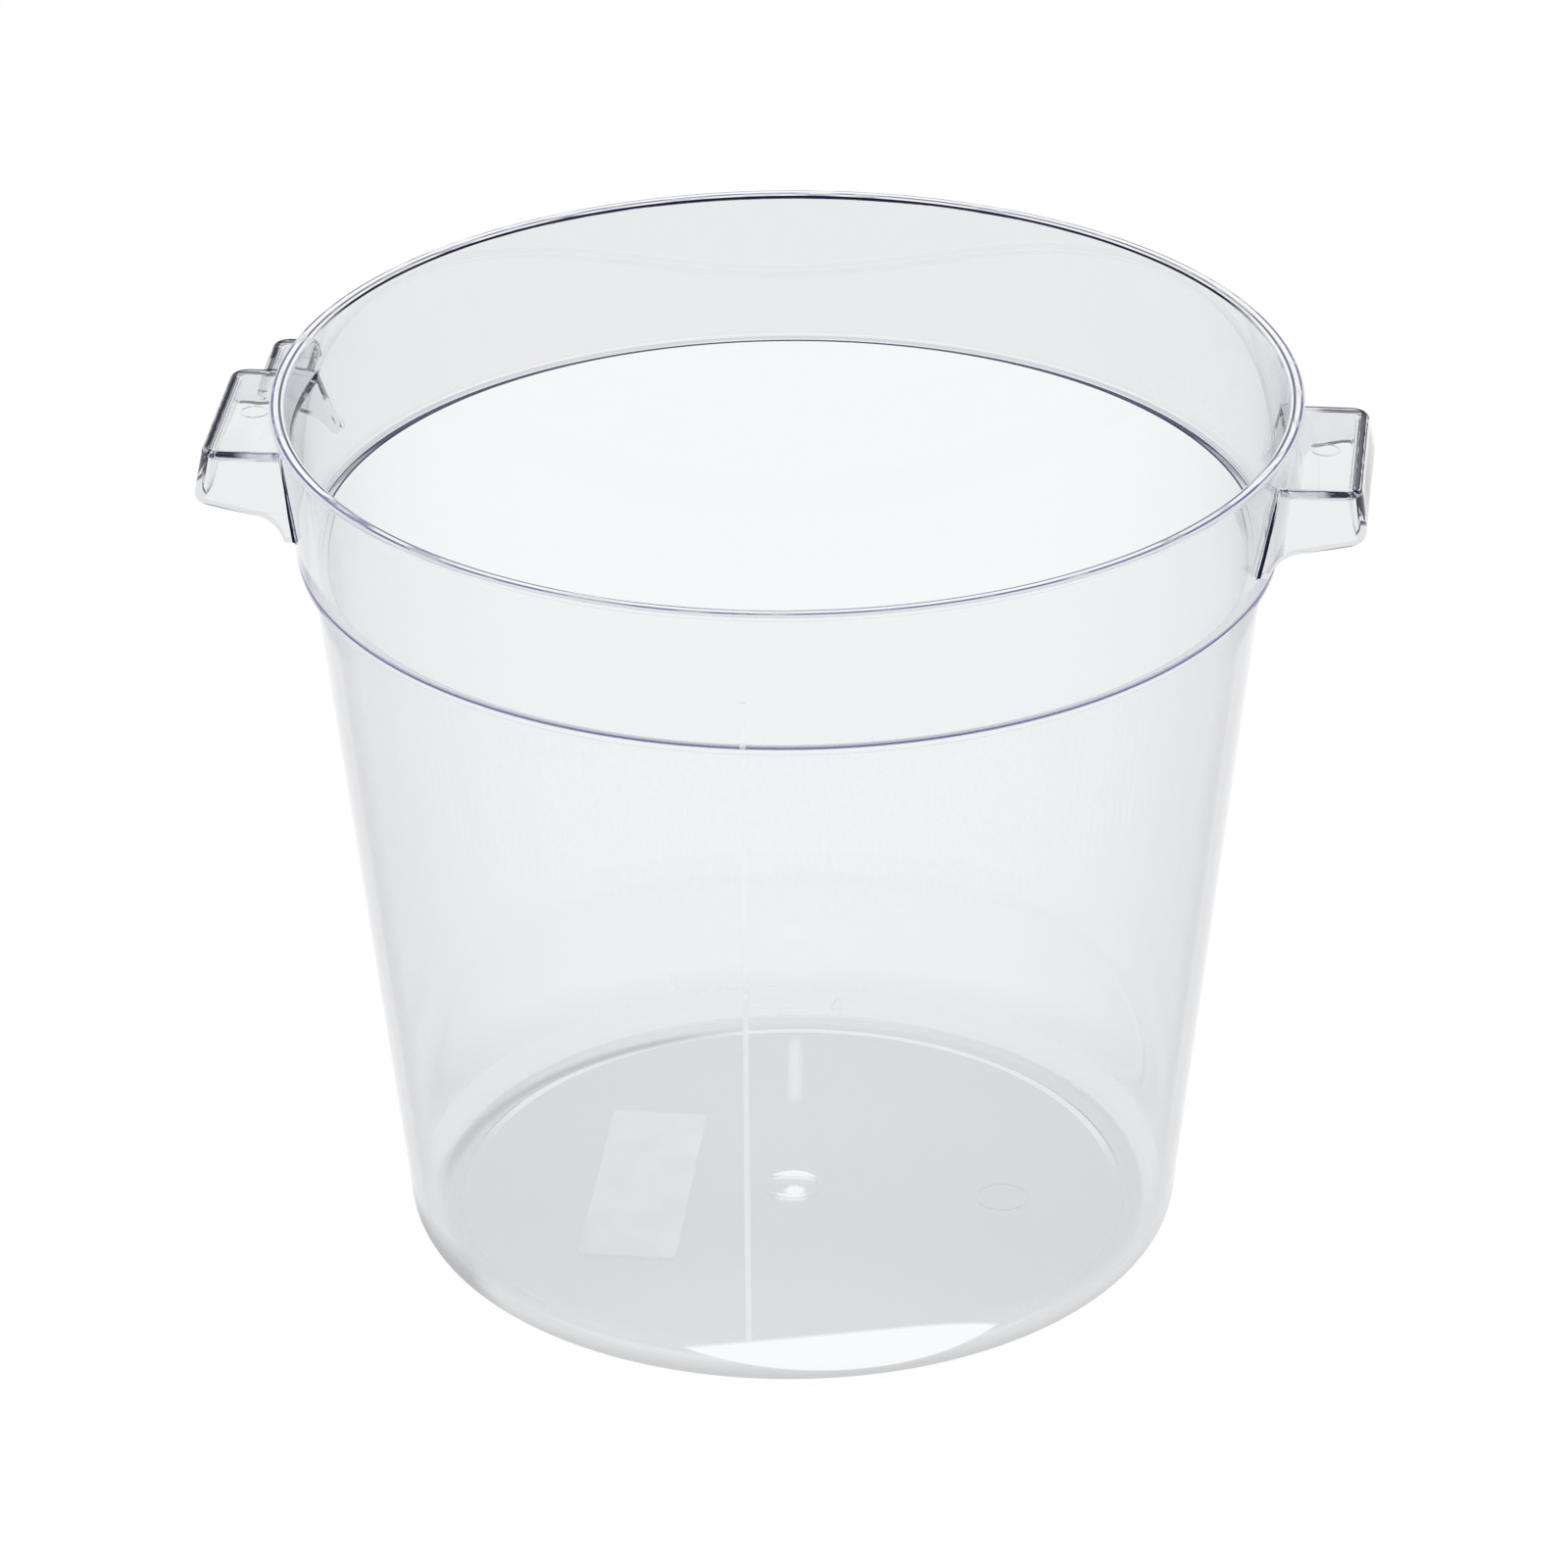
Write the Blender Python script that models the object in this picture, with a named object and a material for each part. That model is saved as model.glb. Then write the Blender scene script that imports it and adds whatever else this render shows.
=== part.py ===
"""A clear round food container with two side handles and a label under its base, in metres, +Z up.

The origin is the centre of the base, on the table. The handles lie along X.
"""

import math

import bpy

# Body of the container
HEIGHT = 0.231
RIM_OVERHANG = 0.00117  # how far the rim stands out from the collar
RIM_THICKNESS = 0.002
RIM_INNER_ROUND = 0.0014
WALL = 0.0027
BASE_RADIUS = 0.0986  # the outer wall's cone carried down to the table
DRAFT_SHARE = 0.1127  # widening for each unit of height
HEEL_RADIUS = 0.0092
FOOT_WIDTH = 0.003
RECESS_DEPTH = 0.0015
RECESS_SLOPE = 0.001
FLOOR_THICKNESS = 0.003
INNER_HEEL_RADIUS = 0.0068

# The collar above the step
COLLAR_HEIGHT = 0.0399
STEP_HEIGHT = HEIGHT - COLLAR_HEIGHT
STEP_WIDTH = 0.0032
LEDGE_RISE = 0.0011  # the inner ledge stands this far above the outer step
LEDGE_HOLLOW = 0.0016  # the hollow curve from the inner ledge up to the collar
STEP_ROUND = 0.0004

# Handles, each an upside-down tray joined to the collar
HANDLE_DROP = 0.0106  # from the top of the rim down to the plate
HANDLE_TOP = HEIGHT - HANDLE_DROP
HANDLE_PROJECTION = 0.0179  # from the collar out to the handle's edge
HANDLE_HALF_WIDTH = 0.0263
HANDLE_WALL = 0.0025
HANDLE_CORNER = 0.0048
HANDLE_EDGE = 0.0017
HANDLE_INNER_EDGE = 0.0012
END_FLARE_SHARE = 0.16  # how far the outer skirt leans out for each unit of depth
SIDE_FLARE_SHARE = 0.45
HANDLE_FILLET = 0.001
SKIRT_OUTER_DEPTH = 0.0118  # from the plate down to the skirt's lower edge, at its outer end
SKIRT_INNER_DEPTH = 0.0141
SKIRT_SWEEP_RADIUS = 0.0092
SKIRT_SWEEP_ANGLE = math.radians(69)
SKIRT_CORNER = 0.0024

# The narrow ledge beside the left handle
LEDGE_PROJECTION = 0.0101
LEDGE_WIDTH = 0.0107
LEDGE_LENGTH = 0.0197  # from the handle's side to the ledge's end
LEDGE_CORNER = 0.0045
LEDGE_INNER_DEPTH = 0.0045  # its skirt gets shallower towards the container

# The label
LABEL_WIDTH = 0.0254
LABEL_LENGTH = 0.0762
LABEL_THICKNESS = 0.0003
LABEL_GAP = 0.0003
LABEL_CORNER = 0.002
LABEL_X = -0.0392
LABEL_Y = -0.0007

# How finely curves are cut
AROUND = 96
ROUND_STEPS = 6
HEEL_STEPS = 7
SMALL_STEPS = 2
SMOOTH_ANGLE = math.radians(30)

RIGHT = 1
LEFT = -1
QUARTER = math.pi / 2


def clear_scene():
    for old in list(bpy.data.objects):
        bpy.data.objects.remove(old, do_unlink=True)


def arc(centre, radius, start, end, steps):
    """Points along an arc, ends included."""
    points = []
    for i in range(steps + 1):
        angle = start + (end - start) * i / steps
        points.append((centre[0] + radius * math.cos(angle), centre[1] + radius * math.sin(angle)))
    return points


def wall_radius(height):
    """Outer radius of the body below the step."""
    return BASE_RADIUS + DRAFT_SHARE * height


def collar_radius(height):
    return wall_radius(height) + STEP_WIDTH


def reach_of(projection):
    """How far from the axis something ends that stands out from the collar at the height of the handles."""
    return collar_radius(HANDLE_TOP) + projection


def make_object(name, points, faces):
    mesh = bpy.data.meshes.new(name)
    mesh.from_pydata(points, [], faces)
    mesh.shade_smooth()
    mesh.set_sharp_from_angle(angle=SMOOTH_ANGLE)
    made = bpy.data.objects.new(name, mesh)
    bpy.context.scene.collection.objects.link(made)
    return made


def revolve(name, profile):
    """A solid turned about Z. The profile runs from the axis at the bottom, out, up and back to the axis."""
    points = [(0, 0, profile[0][1])]
    for radius, height in profile[1:-1]:
        for i in range(AROUND):
            angle = 2 * math.pi * i / AROUND
            points.append((radius * math.cos(angle), radius * math.sin(angle), height))
    top = len(points)
    points.append((0, 0, profile[-1][1]))
    faces = []
    rings = len(profile) - 2
    for i in range(AROUND):
        after = (i + 1) % AROUND
        faces.append((0, 1 + after, 1 + i))
        for ring in range(rings - 1):
            low = 1 + ring * AROUND
            high = low + AROUND
            faces.append((low + i, low + after, high + after, high + i))
        last = 1 + (rings - 1) * AROUND
        faces.append((last + i, last + after, top))
    return make_object(name, points, faces)


def stack(name, sections):
    """A solid through closed outlines of equal length, listed from the bottom up, each anticlockwise from above."""
    count = len(sections[0])
    points = [point for section in sections for point in section]
    faces = [tuple(reversed(range(count)))]
    for level in range(len(sections) - 1):
        low = level * count
        high = low + count
        for i in range(count):
            after = (i + 1) % count
            faces.append((low + i, low + after, high + after, high + i))
    faces.append(tuple(range(len(points) - count, len(points))))
    return make_object(name, points, faces)


def container_profile():
    slant = math.hypot(1, DRAFT_SHARE)
    lean = math.atan(DRAFT_SHARE)
    heel_centre = wall_radius(HEEL_RADIUS) - HEEL_RADIUS * slant
    foot_inner = heel_centre - FOOT_WIDTH
    profile = [(0, RECESS_DEPTH), (foot_inner - RECESS_SLOPE, RECESS_DEPTH), (foot_inner, 0)]
    profile += arc((heel_centre, HEEL_RADIUS), HEEL_RADIUS, -QUARTER, -lean, HEEL_STEPS)
    # the step, with the collar's lower corner slightly rounded
    profile.append((wall_radius(STEP_HEIGHT), STEP_HEIGHT))
    corner = (collar_radius(STEP_HEIGHT) - STEP_ROUND, STEP_HEIGHT + STEP_ROUND)
    profile += arc(corner, STEP_ROUND, -QUARTER, -lean, SMALL_STEPS)
    # the rim's rounded edge
    bead = RIM_THICKNESS / 2
    profile.append((collar_radius(HEIGHT - RIM_THICKNESS), HEIGHT - RIM_THICKNESS))
    rim_radius = collar_radius(HEIGHT) + RIM_OVERHANG
    profile += arc((rim_radius - bead, HEIGHT - bead), bead, -QUARTER, QUARTER, ROUND_STEPS)
    inner_top = collar_radius(HEIGHT) - WALL
    rounding = (inner_top + RIM_INNER_ROUND, HEIGHT - RIM_INNER_ROUND)
    profile += arc(rounding, RIM_INNER_ROUND, QUARTER, 2 * QUARTER, SMALL_STEPS)
    # down the inside: ledge, wall and floor
    ledge = STEP_HEIGHT + LEDGE_RISE
    hollow = (collar_radius(ledge) - WALL - LEDGE_HOLLOW, ledge + LEDGE_HOLLOW)
    profile += arc(hollow, LEDGE_HOLLOW, -lean, -QUARTER, SMALL_STEPS)
    edge = (wall_radius(ledge) - WALL + STEP_ROUND, ledge - STEP_ROUND)
    profile += arc(edge, STEP_ROUND, QUARTER, 2 * QUARTER - lean, SMALL_STEPS)
    floor = RECESS_DEPTH + FLOOR_THICKNESS
    centre_height = floor + INNER_HEEL_RADIUS
    centre = wall_radius(centre_height) - WALL - INNER_HEEL_RADIUS * slant
    profile += arc((centre, centre_height), INNER_HEEL_RADIUS, -lean, -QUARTER, HEEL_STEPS)
    profile.append((0, floor))
    return profile


def wall_at(height, across):
    """How far out the collar's outer face stands, this far across from the middle of a handle."""
    return math.sqrt(collar_radius(height) ** 2 - across**2)


def handle_plan(side, reach, half, corner, fillet):
    """The outline of a handle: rounded corners outside, and a hollow curve into the collar at each end."""

    def plan(height, by, fall):
        edge = half - by + SIDE_FLARE_SHARE * fall
        outer = reach - by + END_FLARE_SHARE * fall
        turn = corner - by
        inner = wall_at(height, edge + fillet) - WALL / 2
        foot = wall_at(height, edge) + fillet
        points = [(inner, -edge - fillet)]
        if fillet:
            points += arc((foot, -edge - fillet), fillet, 2 * QUARTER, QUARTER, SMALL_STEPS)
        points += arc((outer - turn, turn - edge), turn, -QUARTER, 0, ROUND_STEPS)
        points += arc((outer - turn, edge - turn), turn, 0, QUARTER, ROUND_STEPS)
        if fillet:
            points += arc((foot, edge + fillet), fillet, -QUARTER, -2 * QUARTER, SMALL_STEPS)
        points.append((inner, edge + fillet))
        return [(side * x, side * y, height) for x, y in points]

    return plan


def ledge_plan(reach, width, start, end, corner):
    """The outline of the side ledge: a rounded box from inside the left handle to its own end."""

    def plan(height, by, fall):
        turn = corner - by
        left = by - reach - END_FLARE_SHARE * fall
        right = width - reach - by
        far = end - by + SIDE_FLARE_SHARE * fall
        points = [(left, start), (right, start)]
        points += arc((right - turn, far - turn), turn, 0, QUARTER, ROUND_STEPS)
        points += arc((left + turn, far - turn), turn, QUARTER, 2 * QUARTER, ROUND_STEPS)
        return [(x, y, height) for x, y in points]

    return plan


def tray(name, plan, top, bottom, edge):
    """One block with flared sides and a rounded upper edge."""
    shoulder = top - edge
    sections = [plan(bottom, 0, shoulder - bottom)]
    for i in range(SMALL_STEPS * 2 + 1):
        angle = QUARTER * i / (SMALL_STEPS * 2)
        sections.append(plan(shoulder + edge * math.sin(angle), edge * (1 - math.cos(angle)), 0))
    return stack(name, sections)


def core(name):
    """The space inside the middle of the collar wall, so that nothing of a handle stands inside the container."""
    low = STEP_HEIGHT
    high = HEIGHT
    half = WALL / 2
    return revolve(
        name, [(0, low), (collar_radius(low) - half, low), (collar_radius(high) - half, high), (0, high)]
    )


def outer_corner(reach):
    """The end of a skirt's lower edge: a rounded corner, and a run past everything."""
    height = HANDLE_TOP - SKIRT_OUTER_DEPTH + SKIRT_CORNER
    flared = reach + END_FLARE_SHARE * (HANDLE_TOP - height)
    corner = arc((flared - SKIRT_CORNER, height), SKIRT_CORNER, -QUARTER, 0, ROUND_STEPS)
    return corner + [(flared + HANDLE_HALF_WIDTH, height)]


def handle_edge(reach):
    """The lower edge of a handle's skirts, from the collar out: it sweeps up, then runs level."""
    inner_height = HANDLE_TOP - SKIRT_INNER_DEPTH
    wall = wall_at(inner_height, HANDLE_HALF_WIDTH)
    level_from = wall + SKIRT_SWEEP_RADIUS * math.sin(SKIRT_SWEEP_ANGLE)
    centre = (level_from, inner_height - SKIRT_SWEEP_RADIUS)
    sweep = arc(centre, SKIRT_SWEEP_RADIUS, QUARTER + SKIRT_SWEEP_ANGLE, QUARTER, ROUND_STEPS)
    return [(wall - 2 * WALL, sweep[0][1])] + sweep + outer_corner(reach)


def ledge_edge(reach):
    """The lower edge of the side ledge, which drops from the inside to the outside."""
    inner = reach - LEDGE_WIDTH
    height = HANDLE_TOP - LEDGE_INNER_DEPTH
    return [(inner - HANDLE_WALL, height), (inner, height)] + outer_corner(reach)


def underside(name, side, edge):
    """What is cut away below a handle: its upper surface is the skirts' lower edge."""
    bottom = STEP_HEIGHT
    section = [(edge[0][0], bottom)] + edge + [(edge[-1][0], bottom)]
    half = 2 * (HANDLE_HALF_WIDTH + LEDGE_LENGTH)
    near = [(side * x, -half, z) for x, z in section]
    far = [(side * x, half, z) for x, z in section]
    return stack(name, [near, far] if side == RIGHT else [far, near])


def combine(target, other, operation):
    change = target.modifiers.new(other.name, "BOOLEAN")
    change.operation = operation
    change.solver = "EXACT"
    change.object = other
    other.hide_render = True
    other.display_type = "WIRE"


def skirted_plate(name, side, plan, hollow_plan, edge):
    """An upside-down tray with its lower edge cut. Gives back the tray and the block that hollows it."""
    bottom = STEP_HEIGHT + WALL
    shell = tray(name, plan, HANDLE_TOP, bottom, HANDLE_EDGE)
    inside_top = HANDLE_TOP - HANDLE_WALL
    hollow = tray(name + "_hollow", hollow_plan, inside_top, bottom - HANDLE_WALL, HANDLE_INNER_EDGE)
    combine(shell, hollow, "DIFFERENCE")
    combine(shell, underside(name + "_underside", side, edge), "DIFFERENCE")
    combine(shell, core(name + "_core"), "DIFFERENCE")
    return shell, hollow


def handle(name, side):
    reach = reach_of(HANDLE_PROJECTION)
    plan = handle_plan(side, reach, HANDLE_HALF_WIDTH, HANDLE_CORNER, HANDLE_FILLET)
    inner_half = HANDLE_HALF_WIDTH - HANDLE_WALL
    hollow_plan = handle_plan(side, reach - HANDLE_WALL, inner_half, HANDLE_CORNER - HANDLE_WALL, 0)
    return skirted_plate(name, side, plan, hollow_plan, handle_edge(reach))


def side_ledge(name, handle_hollow):
    """Starts inside the left handle, whose hollow then cuts off what would stand inside it."""
    reach = reach_of(LEDGE_PROJECTION)
    start = HANDLE_HALF_WIDTH / 2
    end = HANDLE_HALF_WIDTH + LEDGE_LENGTH
    plan = ledge_plan(reach, LEDGE_WIDTH, start, end, LEDGE_CORNER)
    # the hollow is as wide as the ledge, so it is open towards the container
    hollow_corner = LEDGE_CORNER - HANDLE_WALL
    hollow_plan = ledge_plan(
        reach - HANDLE_WALL, LEDGE_WIDTH, start - HANDLE_WALL, end - HANDLE_WALL, hollow_corner
    )
    ledge, _ = skirted_plate(name, LEFT, plan, hollow_plan, ledge_edge(reach))
    combine(ledge, handle_hollow, "DIFFERENCE")
    return ledge


def plastic(name, colour, roughness, transmission):
    material = bpy.data.materials.new(name)
    material.use_nodes = True
    shader = material.node_tree.nodes["Principled BSDF"]
    shader.inputs["Base Color"].default_value = colour
    shader.inputs["Roughness"].default_value = roughness
    shader.inputs["Transmission Weight"].default_value = transmission
    return material


def label():
    top = RECESS_DEPTH - LABEL_GAP
    half_width = LABEL_WIDTH / 2 - LABEL_CORNER
    half_length = LABEL_LENGTH / 2 - LABEL_CORNER
    corners = [(1, -1), (1, 1), (-1, 1), (-1, -1)]
    outline = []
    for i, (across, along) in enumerate(corners):
        centre = (LABEL_X + across * half_width, LABEL_Y + along * half_length)
        start = (i - 1) * QUARTER
        outline += arc(centre, LABEL_CORNER, start, start + QUARTER, ROUND_STEPS)
    sections = [[(x, y, z) for x, y in outline] for z in (top - LABEL_THICKNESS, top)]
    return stack("label", sections)


clear_scene()
container = revolve("container", container_profile())
right, _ = handle("handle_right", RIGHT)
left, left_hollow = handle("handle_left", LEFT)
for piece in (right, left, side_ledge("side_ledge", left_hollow)):
    combine(container, piece, "UNION")
clear_plastic = plastic("clear_plastic", (0.86, 0.88, 0.91, 1), 0.08, 0.9)
container.data.materials.append(clear_plastic)
paper = plastic("label_paper", (0.88, 0.88, 0.86, 1), 0.7, 0)
label().data.materials.append(paper)
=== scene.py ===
"""Looks of a clear round food container: one piece of clear plastic with a paper label under its base.

Metres, +Z up. The handles lie along X and the graduation is on the -Y side.
"""

import math
import random

import bmesh
import bpy
import numpy as np
from mathutils import Matrix, Vector
from mathutils.bvhtree import BVHTree


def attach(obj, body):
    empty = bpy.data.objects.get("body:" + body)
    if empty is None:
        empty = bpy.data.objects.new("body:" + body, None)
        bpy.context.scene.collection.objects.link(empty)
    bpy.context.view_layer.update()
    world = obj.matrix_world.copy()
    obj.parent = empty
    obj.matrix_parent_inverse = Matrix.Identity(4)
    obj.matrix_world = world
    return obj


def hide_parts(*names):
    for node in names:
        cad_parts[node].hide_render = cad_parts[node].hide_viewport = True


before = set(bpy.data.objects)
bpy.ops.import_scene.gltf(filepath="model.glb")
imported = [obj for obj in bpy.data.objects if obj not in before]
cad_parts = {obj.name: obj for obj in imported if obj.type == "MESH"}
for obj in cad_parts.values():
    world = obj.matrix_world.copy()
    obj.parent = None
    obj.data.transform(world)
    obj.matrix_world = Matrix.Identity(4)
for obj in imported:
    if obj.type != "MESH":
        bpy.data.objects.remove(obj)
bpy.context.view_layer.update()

QUARTER = math.pi / 2
RIGHT = 1
LEFT = -1

# Body of the container
HEIGHT = 0.231
RIM_OVERHANG = 0.00117  # how far the rim stands out from the collar
RIM_THICKNESS = 0.002
RIM_INNER_ROUND = 0.0014
WALL = 0.0027
BASE_RADIUS = 0.0986  # the outer wall's cone carried down to the table
DRAFT_SHARE = 0.1127  # widening for each unit of height
HEEL_RADIUS = 0.0092
FOOT_WIDTH = 0.003
RECESS_DEPTH = 0.0015
RECESS_SLOPE = 0.001
FLOOR_THICKNESS = 0.003
FLOOR_TOP = RECESS_DEPTH + FLOOR_THICKNESS
INNER_HEEL_RADIUS = 0.0068
COLLAR_HEIGHT = 0.0399
STEP_HEIGHT = HEIGHT - COLLAR_HEIGHT
STEP_WIDTH = 0.0032
LEDGE_RISE = 0.0011  # the inner ledge stands this far above the outer step
LEDGE_HOLLOW = 0.0016  # the hollow curve from the inner ledge up to the collar
STEP_ROUND = 0.0005

# Handles, each an upside-down tray joined to the collar
HANDLE_DROP = 0.0106  # from the top of the rim down to the plate
HANDLE_TOP = HEIGHT - HANDLE_DROP
HANDLE_PROJECTION = 0.0179  # from the collar out to the handle's edge
HANDLE_HALF_WIDTH = 0.0263
HANDLE_WALL = 0.0025
HANDLE_CORNER = 0.0048
HANDLE_EDGE = 0.0017
HANDLE_INNER_EDGE = 0.0012
END_FLARE_SHARE = 0.16  # how far the outer skirt leans out for each unit of depth
SIDE_FLARE_SHARE = 0.45
HANDLE_FILLET = 0.001
SKIRT_OUTER_DEPTH = 0.0118  # from the plate down to the skirt's lower edge, at its outer end
SKIRT_INNER_DEPTH = 0.0141
SKIRT_SWEEP_RADIUS = 0.0092
SKIRT_SWEEP_ANGLE = math.radians(69)
SKIRT_CORNER = 0.0024

# The narrow ledge beside the left handle
LEDGE_PROJECTION = 0.0101
LEDGE_WIDTH = 0.0107
LEDGE_LENGTH = 0.0197  # from the handle's side to the ledge's end
LEDGE_CORNER = 0.0045
LEDGE_INNER_DEPTH = 0.0045  # its skirt gets shallower towards the container

# Marks that are raised a little from the plastic
MARK_HEIGHT = 0.00018
MARK_ROOT = 0.0004  # how deep a mark is set into the plastic that it stands on
GATE_RADIUS = 0.0022
GATE_DROP = 0.0008
GATE_RING_RADIUS = 0.0072
GATE_RING_WIDTH = 0.0006
BASE_MARK_X = 0.055
BASE_MARK_RADIUS = 0.007
BASE_MARK_WIDTH = 0.0006
PLATE_MARK_X = 0.1345
PLATE_MARK_Y = -0.001
PLATE_MARK_RADIUS = 0.0036
PLATE_MARK_WIDTH = 0.0004
SCALE_WIDTH = 0.0014
SCALE_LOW = 0.015
SCALE_HIGH = 0.206
SCALE_LOW_TURN = math.radians(-0.55)
SCALE_HIGH_TURN = math.radians(0.85)
LEFT_TICK_HEIGHT = 0.1216
LEFT_TICK_LENGTH = 0.0095
RIGHT_TICK_HEIGHT = 0.1165
RIGHT_TICK_LENGTH = 0.0140
TICK_WIDTH = 0.0005
FIGURE_HEIGHT = 0.0050
FIGURE_STROKE = 0.0006
FIGURE_GAP = 0.00036  # what is left free between two strokes of a figure, so that none overlap
LEFT_FIGURE_X = -0.0185
RIGHT_FIGURE_X = 0.0225

# Label
LABEL_WIDTH = 0.0254
LABEL_LENGTH = 0.0762
LABEL_THICKNESS = 0.0003
LABEL_GAP = 0.0003
LABEL_CORNER = 0.002
LABEL_X = -0.0392
LABEL_Y = -0.0007
LABEL_EDGE_STEP = 0.0015
LABEL_RAGGED = 0.0003
LABEL_SEED = 4

# How finely curves are cut, and how the smooth normals are found again after the joining
AROUND = 288
ROUND_STEPS = 12
HEEL_STEPS = 20
SMALL_STEPS = 5
RING_STEPS = 72
STROKE_STEP = 0.002
SHARP_ANGLE = math.radians(32)
PROBE_SHARE = 0.02  # a corner is looked up a little way towards the middle of its face
PROBE_REACH = 0.00008
MATCH_SHARE = 0.6  # how alike two faces have to look
MATCH_WORTH = 0.0001
SMALLEST_AREA = 1e-13
SMALLEST_SCALE = 1e-24

# Floor, studio and light
FLOOR_HALF = 6
FLOOR_DROP = 0.0003
FLOOR_GREY = (0.8, 0.8, 0.8)
GLOW_SHARE = 0.9
FRONT_LIFT_SHARE = 0.75  # the floor in front lies in more light
FLOOR_FRONT = (-BASE_RADIUS / 5, -BASE_RADIUS * 4 / 5)
# painted shadow on the floor under and near the base, which only rays through the plastic see
SHADOW_UNDER_BASE = (0.83, 0.835, 0.835)
SHADOW_NEAR_BASE = (0.93, 0.93, 0.93)
WHITE = (1, 1, 1)
STUDIO = (0.17, 0.18, 0.26)
FLOOR_SHADOW_SHARES = [(0.46, SHADOW_UNDER_BASE), (0.51, SHADOW_NEAR_BASE), (0.60, SHADOW_NEAR_BASE), (0.68, WHITE)]
STUDIO_SHARES = [(0.0, WHITE), (0.47, WHITE), (0.56, STUDIO), (0.72, STUDIO), (0.85, WHITE)]
SUN_STRENGTH = 2.0
SUN_DISC = math.radians(60)
SUN_TURN = (math.radians(20), math.radians(15), 0)

# Camera
CAMERA_AT = (0.1927, -1.8480, 1.0665)
CAMERA_TURN = math.radians(6.0)
CAMERA_PITCH = math.radians(26.972)
CAMERA_ROLL = math.radians(-0.4556)
FOCAL_LENGTH = 187.45
SENSOR = 36
FARTHEST = 100

# Colours
PLASTIC_TINT = (0.935, 0.94, 0.948)
# painted shade: the handles get a darker tint than the body
HANDLE_SHADE_TINT = (0.84, 0.85, 0.865)
# from here to GLINT: colours of painted light and shade on the plastic
NAVY = (0.010, 0.012, 0.035)
BACK_STEP = (0.045, 0.05, 0.11)
STEP_VIOLET = (0.09, 0.10, 0.27)
DEEP_VIOLET = (0.13, 0.13, 0.30)
VIOLET = (0.14, 0.15, 0.36)
SLATE = (0.14, 0.15, 0.19)
BAND_SHADE_TONE = (0.46, 0.465, 0.49)
HEEL_DARKEST = (0.46, 0.46, 0.48)
GREY = (0.55, 0.57, 0.61)
HEEL_DARK = (0.60, 0.605, 0.615)
PALE_BLUE = (0.60, 0.66, 0.88)
LEG_SHADE_TONE = (0.62, 0.63, 0.70)
HEEL_MIDDLE = (0.67, 0.675, 0.69)
PALE_GREY = (0.70, 0.72, 0.75)
FLOOR_SHADE_TONE = (0.75, 0.76, 0.775)
HEEL_LIGHT = (0.76, 0.765, 0.78)
SKIRT_GREY = (0.81, 0.83, 0.85)
HEEL_PAINTED_TONE = (0.85, 0.855, 0.865)
NEAR_WHITE = (0.88, 0.90, 0.94)
GLINT = (0.97, 0.98, 1)
PAPER = (0.94, 0.92, 0.875)
PAPER_SHADE = (0.85, 0.83, 0.785)

# Paper
PAPER_ROUGHNESS = 0.8
CLOUDS = {"Scale": 90, "Detail": 4}
GRAIN = {"Scale": 1500, "Detail": 2}
CLOUD_SHARE = 0.6
PAPER_SHARES = [(0.35, PAPER_SHADE), (0.65, PAPER)]
PAPER_BUMP = {"Strength": 0.3, "Distance": 0.0001}

# Plastic. A pair holds where a tone is not there yet and where it is fully there.
REFRACTION = 1.58
SOFT = 0.001  # over this length a tone sets in
FINE = 0.0002
COUNT_MARGIN = 0.6
COUNT_SOFT = 0.2
SMALLEST_SHARE = 0.001
MIDDLE_SHARE = 0.5
STREAK_NOISE = {"Scale": 70, "Detail": 3}
FINE_NOISE = {"Scale": 260, "Detail": 2}

# Tint with painted shade: darker where a wall is seen at a flat angle, less so in the collar
GRAZING_SHADE_SHARES = [
    (0.20, WHITE), (0.43, (0.93, 0.93, 0.935)), (0.60, (0.84, 0.84, 0.85)),
    (0.72, (0.76, 0.76, 0.77)), (0.82, (0.5, 0.5, 0.52)), (1.0, (0.38, 0.38, 0.41)),
]
COLLAR_GRAZING_SHADE_SHARE = 0.4
COLLAR_BACK_SHADE_SHARE = 0.78  # painted shade: the collar's inner face, seen over the rim, lets less light through
COLLAR_INNER_SHARE = 0.8  # how far into the wall its inner face is taken to begin

# Painted light: stands for light that is caught in the body after so many reflections
BODY_REFLECTIONS = 3.5
STEP_REFLECTIONS = 2.5
BODY_SOFT = 0.004
STEP_BELOW = 0.015
STEP_ABOVE = 0.004
STEP_SIDE = 0.010
STREAKS_FROM = 0.006  # depth below the rim
STREAKS_TO = 0.010
STREAK_SHARES = [(0.44, VIOLET), (0.52, PALE_BLUE), (0.62, NEAR_WHITE)]
BEAD_SHARE = 0.3  # how much of the caught light shows in the rim's bead

# Painted light and shade: stand for light that is caught in a handle, or runs straight inside it for so long
# that it is coloured
HANDLE_REFLECTIONS = 2
HANDLE_GLINT_SHARES = (0.36, 0.46)
LONG_RUN = (0.007, 0.010)
RUN_DEPTH = 0.008  # long runs count where they end at least this far below the plate's top
LEG_CLEAR = (0.0110, 0.0060)  # close to the collar a skirt stays clear
ZONE_EDGE = 0.0004
EDGE_FACING_SHARES = (0.3, 0.35)
EDGE_SIDE_SHARES = (0.25, 0.2)
FAR_EDGE = (0.005, 0.010)
FAR_EDGE_SHARE = 0.2
BEHIND_COUNTS = (2.6, 1.4)
BEHIND_SHARE = 0.05  # how much of that colour is left in a handle seen through the collar
SIDE_SHADE_STRIPE_SHARES = [
    (0.0, PALE_GREY), (0.10, NAVY), (0.30, NAVY), (0.38, GREY), (0.60, PALE_GREY), (0.68, SLATE),
    (0.84, SLATE), (1.0, PALE_GREY),
]
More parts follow.
